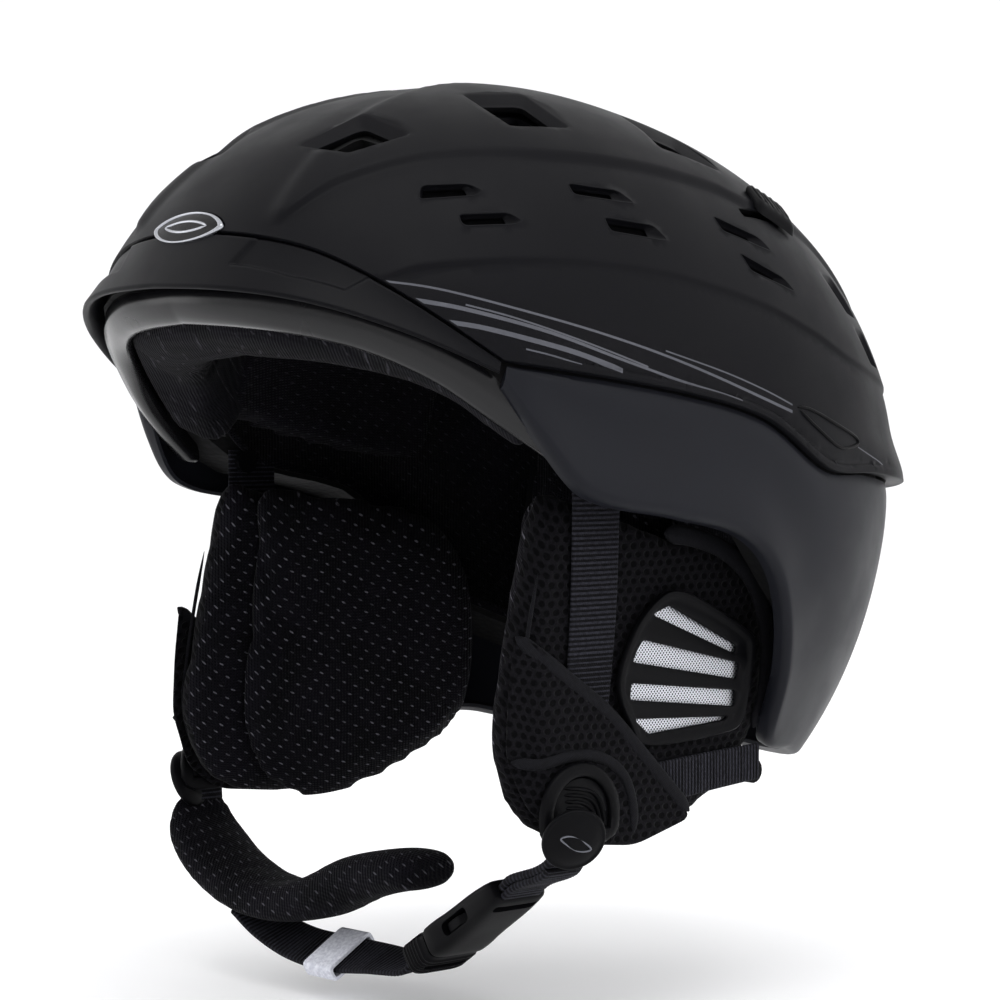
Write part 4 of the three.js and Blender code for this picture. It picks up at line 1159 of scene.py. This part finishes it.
# the grille: a raised rim, and bars that slope towards its rear
GRILLE = smooth_loop([(-27, -66), (-20, -50), (-10, -41), (-2, -39), (8, -42), (29, -52.5), (33, -58),
    (30, -72), (27, -81), (19, -84.5), (-14, -86), (-22, -79)], 84)
SLOTS = [[(-12, -46), (-5, -43.5), (25, -57.5), (24, -60)], [(-21, -60), (-16, -53.5), (26, -63), (25, -68)],
    [(-22, -71.5), (-21, -66.5), (24.5, -71.5), (24, -76.5)], [(-14, -82.5), (-20, -77.5), (21, -79.5),
    (19, -80.5)]]
SLOTS = [subdivided(rounded(s, 1.2, 4), 4) for s in SLOTS]


def grille_bulge(y, z):
    p = np.stack([y, z], -1)
    rim = distance_inside(p, GRILLE)
    raised = 0.75 * (1 - smooth(rim, 1.6, 3.2))
    bars = 0.25 * np.cos((z + 0.28 * y + 66) * 2 * math.pi / 10.5)
    return raised + np.where(rim > 3.2, bars, 0)


both("grille_cover", slab(GRILLE, on_side, 85.7, 86.9, SLOTS, 0.35, grille_bulge, 0.9), "helmet", PLASTIC,
    "ear_grille", "hard_plastic", sharp=45)
GAUZE_OUTLINE = smooth_loop([(-23, -66), (-17, -51), (-8, -43), (8, -45), (27, -55), (28, -72), (24, -80),
    (17, -82), (-13, -83.5), (-20, -76)], 60)
both("gauze_sheet", slab(GAUZE_OUTLINE, on_side, 84.5, 85.1, bevel=0.15, bulge=lambda y,
    z: 0.07 * np.sin((y + z) * 1.4) * np.sin((y - z) * 1.4), pitch=1.5), "helmet", GAUZE, "speaker_gauze",
    "metal_gauze", sharp=None)

# ---------------------------------------------------------------- strap dividers and caps
HALF_TURN = np.linspace(0, math.pi, 25)
ARCH_CENTRE = np.array([-45.5, -104.2])
ARC = np.stack([np.cos(HALF_TURN), np.sin(HALF_TURN)], -1)
ARCH = np.vstack([ARCH_CENTRE + 16 * ARC, [(-61.2, -108.6), (-59.4, -111.4), (-55.8, -113), (-48, -113),
    (-40, -113), (-35, -113), (-31.6, -111.4), (-29.8, -108.6)]])
ARCH_HOLE = np.vstack([ARCH_CENTRE + 11.6 * ARC, [(-56.6, -108.5), (-34.4, -108.5)]])


def arch_bulge(y, z):
    p = np.stack([y, z], -1)
    return -0.9 + 0.9 * np.sin(np.clip(distance_inside(p, ARCH) / 5, 0, 1) * math.pi) ** 0.7


both("divider_frame", slab(ARCH, on_side, 88.5, 91.2, [ARCH_HOLE], 0.5, arch_bulge, 1.0), "helmet", PLASTIC,
    "strap_divider", "hard_plastic", sharp=50)


def chevrons():
    """The nested ridges of the strap adjuster, seen in the divider's window."""
    shapes = [slab(shrunk(ARCH_HOLE, 0.3), on_side, 88.8, 89.9, bevel=0.2)]
    for k in range(4):
        path = smooth_path([(-52.5 + 0.3 * k, -95.6 - 2.0 * k), (-46, -96.2 - 2.0 * k),
            (-40.6 - 0.9 * k, -97.8 - 2.0 * k), (-37.8 - 1.3 * k, -101.2 - 1.5 * k),
            (-35.9 - 1.8 * k, -107.0)], 26)
        shapes.append(tube(on_side(path[:, 0], path[:, 1], 90.0), 0.62, 0.9, (1, 0, 0), 8))
    return joined(shapes)


both("divider_ribs", chevrons(), "helmet", PLASTIC, None, "hard_plastic", sharp=50)

CAP_CENTRE = np.array([95.2, -53.6, -109.8])
CAP_FACING = unit(np.array([0.86, -0.36, -0.36]))
CAP_RIGHT = unit(np.cross([0, 0, 1.0], CAP_FACING))
CAP_UP = np.cross(CAP_FACING, CAP_RIGHT)


def on_cap(u, v, w):
    """The cap's own frame: u to the rear, v up and w out of its face."""
    u, v, w = np.broadcast_arrays(np.asarray(u, float), np.asarray(v, float), np.asarray(w, float))
    return CAP_CENTRE + u[..., None] * CAP_RIGHT + v[..., None] * CAP_UP + w[..., None] * CAP_FACING


def turned(profile):
    """A round piece on the cap's frame, through (height, radius) stops from its back to its face."""
    t = circle(48)
    return loft([on_cap(r * np.cos(t), r * np.sin(t), w) for w, r in profile])


both("cap_disc", turned([(-2.4, 6.0), (-1.6, 8.2), (-0.6, 9.4), (-0.2, 9.9), (0.6, 10.0), (1.1, 9.8),
    (1.3, 9.4), (1.15, 9.0), (1.2, 8.6), (1.7, 7.6), (2.4, 5.5), (2.8, 3.2), (2.95, 1.2), (2.96, 0.1)]),
    "helmet", PLASTIC, "divider_cap", "hard_plastic", sharp=50)
MARK = np.array([(-5.0, 1.6), (-2.6, 2.4), (0.4, 1.6), (3.2, -0.4), (5.0, -2.4), (2.6, -3.0), (-0.4, -2.2),
    (-3.2, -0.2)])
MARK_LINE = smooth_loop(MARK, 60)
both("cap_mark", tube(on_cap(*np.vstack([MARK_LINE, MARK_LINE[:4]]).T, 2.62), 0.28, 0.3, tuple(CAP_FACING),
    8), "helmet", GREY_PLASTIC, None, "hard_plastic", sharp=None)

# ---------------------------------------------------------------- chin strap and buckle
LEFT_PATH = [(92.8, -52, -106.5), (92.4, -51.6, -111.5), (89.4, -51, -116.6), (83, -50.4, -120.4),
    tuple(on_buckle(42, 0, -0.8)), tuple(on_buckle(36.6, 0, -0.4))]
strap("chin_web_left", "strap_loop", LEFT_PATH, (0, 1, 0), (15.0, 16.0), 2.6, ["chin_strap_left"])
TAIL_PATH = [(88.4, -51, -119.4), (86.4, -50.8, -121.3), (82.4, -50.4, -123.1), tuple(on_buckle(42, 0, 1.9)),
    tuple(on_buckle(34.6, 0, 2.3))]
strap("chin_web_tail", "strap_loop", TAIL_PATH, (0, 1, 0), (15.0, 16.0), 2.2)
RIGHT_PATH = [(-66, -50, -150.5), (-54, -50, -155.6), (-38, -50, -159.2), (-18, -50, -160), (4, -50, -159),
    tuple(on_buckle(-20, 0, -0.2)), tuple(on_buckle(-13.4, 0, 0.0))]
TWIST = [(0, 1, 0.1), (0, 1, 0.35), (0, 1, 0.6), (0, 1, 0.6), (0, 1, 0.35), (0, 1, 0)]
web_right = strap("chin_web_right", "buckle_half", RIGHT_PATH, TWIST, (17.0, 16.0), 1.8, ["chin_strap_right"])

STOPS = [(-93.4, -113.8, 3.6, 18), (-94.0, -118, 5.4, 24), (-92.6, -124.8, 9.5, 28.5),
    (-87.0, -131.8, 12.3, 31), (-77, -139, 12.5, 31.5), (-62, -144.8, 12.5, 31.5), (-44, -146.4, 12, 31),
    (-25, -141.6, 12.5, 31), (-6, -133.4, 13, 30.5), (13, -128.3, 13, 30), (24, -127.3, 11.5, 26),
    (28, -127.4, 7, 18)]


def sleeve(stops):
    """The chin pad's form through (x, z, thickness, width) stops."""
    stops = np.asarray(stops, float)
    path = smooth_path([(s[0], -50, s[1]) for s in stops], 60)
    share = np.linspace(0, 1, 60)
    run = travelled(stops[:, :2])
    thick = np.interp(share * run[-1], run, stops[:, 2])
    wide = np.interp(share * run[-1], run, stops[:, 3])
    along = unit(np.gradient(path, axis=0))
    normal = np.stack([-along[:, 2], 0 * along[:, 0], along[:, 0]], -1)
    c, s = squarish(circle(16), 0.75)
    rings = (path[:, None] + normal[:, None] * (c[None, :] * thick[:, None] / 2)[...,
        None] + np.array([0, 1.0, 0]) * (s[None, :] * wide[:, None] / 2)[..., None])
    return loft(rings)


cushion("chin_sleeve", sleeve(STOPS), (3.0, 4.0, 1.2, ((-98.5, -ANY, -ANY), (ANY, ANY, ANY))), "strap_loop",
    KNIT_CHIN, "chin_pad")
LUG_PATH = [(-92.35, -50, -103.6), (-92.35, -50, -108), (-92.3, -50, -112), (-92, -50, -117)]
strap("chin_web_lug", "strap_loop", LUG_PATH, (0, 1, 0), 15.0, 1.5)


def boolean(shape, cutters):
    """The shape with the cutters taken away."""
    objects = [mesh_object(f"cut_{k}", *form, scale=1.0) for k, form in enumerate([shape] + cutters)]
    for cutter in objects[1:]:
        cut = objects[0].modifiers.new("cut", "BOOLEAN")
        cut.operation, cut.solver, cut.object = "DIFFERENCE", "EXACT", cutter
    done = bpy.data.meshes.new_from_object(objects[0].evaluated_get(bpy.context.evaluated_depsgraph_get()))
    points = np.array([p.co for p in done.vertices])
    faces = [tuple(p.vertices) for p in done.polygons]
    for obj in objects:
        bpy.data.objects.remove(obj)
    return points, faces


def buckle_body(stations):
    """A buckle body through (s, half width, half thickness) stations, with soft corners."""
    c, s = squarish(circle(40), 0.42)
    return loft([on_buckle(at, w * c, h * s) for at, w, h in stations])


def pill(s0, s1, y0, y1, n0, n1, axis="y", round_by=2.0):
    """A cutter with rounded corners. Its axis runs along y or n."""
    if axis == "y":
        o = rounded([(s0, n0), (s1, n0), (s1, n1), (s0, n1)], round_by, 6)
        return loft([on_buckle(o[:, 0], np.full(len(o), y), o[:, 1]) for y in (y0, y1)])
    o = rounded([(s0, y0), (s1, y0), (s1, y1), (s0, y1)], round_by, 6)
    return loft([on_buckle(o[:, 0], o[:, 1], np.full(len(o), n)) for n in (n0, n1)])


SOCKET = [(0, 10.2, 4.6), (0.25, 11.0, 5.2), (1.0, 11.3, 5.5), (4, 11.3, 5.6), (7, 11.0, 5.6),
    (10, 10.5, 5.5), (15, 10.3, 5.4), (20, 10.4, 5.3), (24, 10.8, 5.1), (28, 11.0, 4.8), (32, 11.0, 4.4),
    (34.6, 10.8, 4.0), (35.6, 10.4, 3.6), (36, 9.7, 3.0)]
socket = boolean(buckle_body(SOCKET), [pill(-2, 27, -8, 8, -2.3, 2.3, "n", 1.0),
    pill(9, 22, -13, 13, -2.3, 2.3, "y", 2.2), pill(30, 33, -8.5, 8.5, -6, 6, "n", 1.2)])
link("socket_body", *socket, "strap_loop", PLASTIC, ["buckle_socket"], "hard_plastic", sharp=38)


def tongue_head():
    """The ribbed end of the tongue half, with a slot for the webbing."""
    stations = []
    for s in np.linspace(-12.5, -0.5, 61):
        end = min(smooth(s, -12.7, -11.4), smooth(-s, 0.3, 1.1))
        ribs = 0.32 * max(0.0, math.sin((s + 12.2) * 2 * math.pi / 1.35)) if s < -4.6 else 0
        collar = 0.5 * math.exp(-((s + 3.4) / 0.5) ** 2)
        grow = 0.82 + 0.18 * end
        taper = 1 - 0.06 * smooth(s, -6, -0.5)
        stations.append((s, 11.0 * grow * taper + ribs * 0.8 + collar * 0.6,
            (5.1 * taper + ribs + collar) * grow))
    return boolean(buckle_body(stations), [pill(-8.8, -6.2, -8.5, 8.5, -8, 8, "n", 1.0)])


link("tongue_head", *tongue_head(), "buckle_half", PLASTIC, ["buckle_tongue"], "hard_plastic", sharp=38)
BLADE = rounded([(-1.2, -2), (20, -2), (20, 2), (-1.2, 2)], 1.2, 5)
link("tongue_blade", *slab(BLADE, on_buckle, -1.5, 1.5, bevel=0.4), "buckle_half", PLASTIC, (),
    "hard_plastic", sharp=38)
for side, letter, sign in (("front", "a", -1), ("back", "b", 1)):
    o = [(-0.6, 4.2), (19, 4.2), (19, 6.8), (16, 9.2), (10, 9.2), (10, 6.2), (-0.6, 6.2)]
    o = np.array([(s, sign * y) for s, y in o])
    v, f = slab(subdivided(rounded(o, 0.9, 5), 2), on_buckle, -1.7, 1.7, bevel=0.4, pitch=1.2)
    link(f"prong_arm_{side}", v, f, f"prong_{letter}", PLASTIC, [f"prong_{side}"], "hard_plastic", sharp=38)


LABEL_Z = -160.0


def keeper():
    """The pale band round the webbing."""
    outer = rounded([(-10.2, -2.8), (10.2, -2.8), (10.2, 2.8), (-10.2, 2.8)], 2.0, 6)
    inner = rounded([(-9.0, -1.7), (9.0, -1.7), (9.0, 1.7), (-9.0, 1.7)], 1.2, 6)
    c, s = np.array([1, 0.6]) / math.hypot(1, 0.6)
    rings = []
    for x, o in [(-7, outer * 0.98), (-6.6, outer), (0, outer), (6.6, outer), (7, outer * 0.98), (7, inner),
            (0, inner), (-7, inner)]:
        y, z = o[:, 0] * c - o[:, 1] * s, o[:, 0] * s + o[:, 1] * c
        rings.append(np.stack([np.full(len(o), -19.0 + x), -50 + y, LABEL_Z + z], -1))
    return loft(rings, closed=True)


link("keeper_band", *keeper(), "buckle_half", LABEL, ["strap_label"], "label", sharp=50)
# The right strap is taken off its ride and its transform baked in; the blend's two end points are given, but
# nothing uses them.
blend_start, blend_end = (-0.066, -0.05, -0.1505), (-0.030, -0.05, -0.1595)
web_right.parent = None
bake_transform(web_right)
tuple(blend_start)
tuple(blend_end)

# ---------------------------------------------------------------- badge, knobs and inset rim
BADGE_RIM = [(0.9, -1.1), (1, -1.1), (1, 0.55), (0.975, 0.85), (0.94, 0.98), (0.9, 0.85), (0.87, 0.45)]
BADGE_FIELD = [(0.88, 0.2), (0.885, 0.5), (0.8, 0.62), (0.6, 0.78), (0.35, 0.88), (0.05, 0.92)]
for name, profile, finish, nodes in (("badge_rim", BADGE_RIM, CHROME, ["front_badge"]),
        ("badge_field", BADGE_FIELD, ENAMEL, ())):
    rings = [dome(*lens(circle(96), share), off) for share, off in profile]
    link(name, *loft(rings), "helmet", finish, nodes, "badge_metal", sharp=60)
for k, bow in enumerate((0.34, -0.34)):
    u = np.linspace(-0.62, 0.62, 40)
    path = dome(BADGE_POLAR + BADGE_RADII[1] * bow * (1 - (u / 0.62) ** 2), BADGE_RADII[0] * u, 0.86)
    link(f"badge_line_{k}", *tube(path, 0.42, 0.3, unit(path), 8), "helmet", CHROME, (), "badge_metal",
        sharp=60)


def knob():
    """A long low slider with cross ridges, on the shell's own curve."""
    o = rounded([(68.8, 27.6), (77.2, 27.6), (77.2, 46.6), (68.8, 46.6)], 3.0, 7)
    o = subdivided(o, 1.0)
    centre = np.array([73.0, 37.0])
    rings = []
    for share, off in ((0.9, 0.9), (1.0, 1.0), (1.0, 2.2), (0.97, 2.9), (0.9, 3.3)):
        p = centre + (o - centre) * share
        rings.append(roof(p[:, 0], p[:, 1], off))
    for share in (0.8, 0.6, 0.4, 0.2, 0.03):
        p = centre + (o - centre) * share
        ridge = 0.45 * np.abs(np.cos((p[:, 1] - 37) * math.pi / 3.2)) * smooth(np.abs(p[:, 1] - 37), 8.5, 6.5)
        rings.append(roof(p[:, 0], p[:, 1], 3.35 + ridge))
    return loft(rings)


def ridges():
    """The slider's cross ridges."""
    paths = [roof(np.linspace(69.6, 76.4, 14), y, 3.35) for y in np.arange(30.4, 44, 2.6)]
    return joined([tube(path, 0.7, 0.65, unit(path), 8) for path in paths])


both("inset_rim", inset_rim(), "helmet", PLASTIC, None, "matte_shell", sharp=None)
both("slider_knob", knob(), lambda s: f"vent_regulator_{s}", PLASTIC, "vent_knob", "hard_plastic", sharp=50)
both("slider_ridges", ridges(), lambda s: f"vent_regulator_{s}", PLASTIC, None, "hard_plastic", sharp=50)

# ---------------------------------------------------------------- inside
def dome_pad(low_azimuth, high_azimuth, top, bottom, outer_off, inner_off, rows=26, columns=60):
    """A pad form on the cavity: crowned inward, with thin edges."""
    azimuth = np.linspace(low_azimuth, high_azimuth, columns)
    share = np.linspace(0, 1, rows)
    grid = np.zeros((rows, columns, 2))
    for i, u in enumerate(share):
        grid[i, :, 0] = top + (bottom - top) * u
        grid[i, :, 1] = azimuth
    edge_u = np.minimum(share, 1 - share)[:, None] * rows / 3.0
    edge_v = np.minimum(np.arange(columns), np.arange(columns)[::-1])[None, :] / 4.0
    swell = np.sqrt(np.clip(np.minimum(np.broadcast_to(edge_u, (rows, columns)),
        np.broadcast_to(edge_v, (rows, columns))), 0.2, 1))
    outer = dome(grid[..., 0], grid[..., 1], outer_off, CAVITY)
    inner = dome(grid[..., 0], grid[..., 1], outer_off + (inner_off - outer_off) * swell, CAVITY)
    n = rows * columns
    faces = grid_faces(rows, columns)
    faces += [tuple(i + n for i in face[::-1]) for face in grid_faces(rows, columns)]
    border = ([j for j in range(columns)] + [i * columns + columns - 1 for i in range(1, rows)]
        + [(rows - 1) * columns + j for j in range(columns - 2, -1, -1)] + [i * columns
        for i in range(rows - 2, 0, -1)])
    faces += [(a, b, b + n, a + n) for a, b in zip(border, border[1:] + border[:1])]
    return np.vstack([outer.reshape(-1, 3), inner.reshape(-1, 3)]), faces


def brow_roll():
    """The brow pad: it wraps the foam's lower edge from the cavity forward to the brow frame."""
    rings = []
    for azimuth in np.linspace(-57, 57, 77):
        end = 1 - smooth(abs(azimuth), 52, 58) * 0.5
        foam, brow = float(foam_edge(azimuth)), float(frame_edge(azimuth))
        front = -13.6 * (0.72 + 0.28 * math.cos(math.radians(azimuth))) - 1.2
        stops = [(SHELL, foam + 0.5, front - 0.3), (SHELL, brow - 0.6, front - 1.6),
            (SHELL, brow + 0.5, front - 6), (CAVITY, brow + 1.0, 0.0), (CAVITY, brow - 0.6, -5.6),
            (CAVITY, 74, -6.4), (CAVITY, 62, -6.0), (CAVITY, 55, -3.4), (CAVITY, 58, -1.4),
            (CAVITY, 72, -1.4), (CAVITY, foam - 1.5, -1.2), (CAVITY, foam + 1.6, 2.0)]
        ring = smooth_loop([dome(p, azimuth, off, form) for form, p, off in stops], 44)
        rings.append(ring.mean(0) + (ring - ring.mean(0)) * end)
    return loft(rings)


cushion("brow_cushion", brow_roll(), (3.0, 4.0, 1.2), "helmet", KNIT_FRONT_SHADED, "brow_pad")
for name, form, body, material, node in (("side_cushion_left", (44.5, 120, 54, 90, -1.0, -7.0), "helmet",
        KNIT_DEEP_SHADED, "side_pad_left"), ("side_cushion_right", (-120, -44.5, 54, 90, -1.0, -7.0), "helmet",
        KNIT_DEEP_SHADED, "side_pad_right"), ("neck_cushion", (140.5, 219.5, 70.5, 125.5, -10.6, -18.4),
        "head_cradle", KNIT_FRONT_SHADED, "neck_roll")):
    cushion(name, dome_pad(*form), (3.0, 4.0, 2.0), body, material, node)
around = np.linspace(-180, 180, 145)[:-1]
v, f = loft([dome(2 + (foam_edge(around) - 3) * u, around, off, CAVITY) for u,
    off in [(u, -0.9) for u in np.linspace(0, 1, 60)] + [(1.0, -0.2), (0.5, -0.2), (0, -0.2)]])
link("knit_lining", v, f, "helmet", KNIT_DEEP_SHADED, (), "knit", sharp=None)
turn = np.linspace(0, 360, 64, endpoint=False)
crown = loft([dome(p, turn, off, CAVITY) for p, off in ((1, -1.2), (10, -1.2), (18.5, -1.2), (20, -2.4),
    (19.6, -4.6), (17, -6.0), (12, -6.6), (6, -6.9), (1, -7))])
cushion("crown_cushion", crown, (4.5, 4.0, 2.0), "helmet", KNIT_TOP, "crown_pad")

plain_node("foam_liner", FOAM)
RIVETS = [f"{end}_strap_anchor_{side}" for end in ("front", "rear") for side in ("left", "right")]
for node in ["vent_shutter_left", "vent_shutter_right", "fit_cradle", "clip_base", "clip_arm",
        "clip_stud"] + RIVETS:
    plain_node(node, PLASTIC)
plain_node("clip_pin", CHROME)


# ---------------------------------------------------------------- floor, light and camera
def emissive_world(strength):
    world = bpy.data.worlds.new("studio")
    world.use_nodes = True
    world.node_tree.nodes["Background"].inputs["Color"].default_value = (1, 1, 1, 1)
    world.node_tree.nodes["Background"].inputs["Strength"].default_value = strength
    bpy.context.scene.world = world


def backdrop():
    """A pale floor that curves up far behind the helmet."""
    mesh = bpy.data.meshes.new("floor")
    floor, turns, rows = -0.175, 96, []
    profile = [(2.0, 0), (4.0, 0), (5.0, 0.15), (5.6, 0.7), (6.0, 1.8), (6.2, 4.0)]
    for r, rise in profile:
        turn = [2 * math.pi * i / turns for i in range(turns)]
        rows += [(r * math.cos(t), r * math.sin(t), floor + rise) for t in turn]
    faces = grid_faces(len(profile), turns, close_columns=True) + [tuple(range(turns))]
    mesh.from_pydata(rows, [], faces)
    mesh.shade_smooth()
    m = Nodes("pale_floor", (0.86, 0.86, 0.87), 0.9, Emission_Color=(1, 1, 1, 1), Emission_Strength=0.16)
    m.bump(m.noise(40, 2), 0.0002)
    mesh.materials.append(m.material)
    obj = bpy.data.objects.new("floor", mesh)
    bpy.context.scene.collection.objects.link(obj)


def direction(azimuth, elevation):
    """The way out from the helmet: azimuth 0 to the front, 90 to the wearer's left."""
    a, e = math.radians(azimuth), math.radians(elevation)
    return Vector((math.sin(a) * math.cos(e), -math.cos(a) * math.cos(e), math.sin(e)))


def softbox(name, azimuth, elevation, distance, size, power):
    """An area light that faces the helmet's origin."""
    lamp = bpy.data.lights.new(name, "AREA")
    lamp.shape = "RECTANGLE"
    lamp.size, lamp.size_y = size
    lamp.energy = power
    obj = bpy.data.objects.new(name, lamp)
    obj.location = direction(azimuth, elevation) * distance
    obj.rotation_euler = (-obj.location).to_track_quat("-Z", "Y").to_euler()
    bpy.context.scene.collection.objects.link(obj)


bpy.context.scene.view_settings.view_transform = "Standard"
emissive_world(1.0)
backdrop()
softbox("key_top", 60, 70, 1.5, (1.4, 1.0), 12)
softbox("left_strip", -50, 20, 1.4, (0.4, 1.2), 2)
softbox("right_fill", 110, 20, 1.5, (0.8, 1.2), 3)

camera = bpy.data.cameras.new("camera")
camera.sensor_width = 36
camera.lens = 36 * 3.04
camera.clip_start, camera.clip_end = 0.05, 50
view = bpy.data.objects.new("camera", camera)
towards_camera = direction(48, 2)
view.location = Vector((1.512, 1.680, -13.5)) * MM + towards_camera
view.rotation_euler = (-towards_camera).to_track_quat("-Z", "Y").to_euler()
bpy.context.scene.collection.objects.link(view)
bpy.context.scene.camera = view
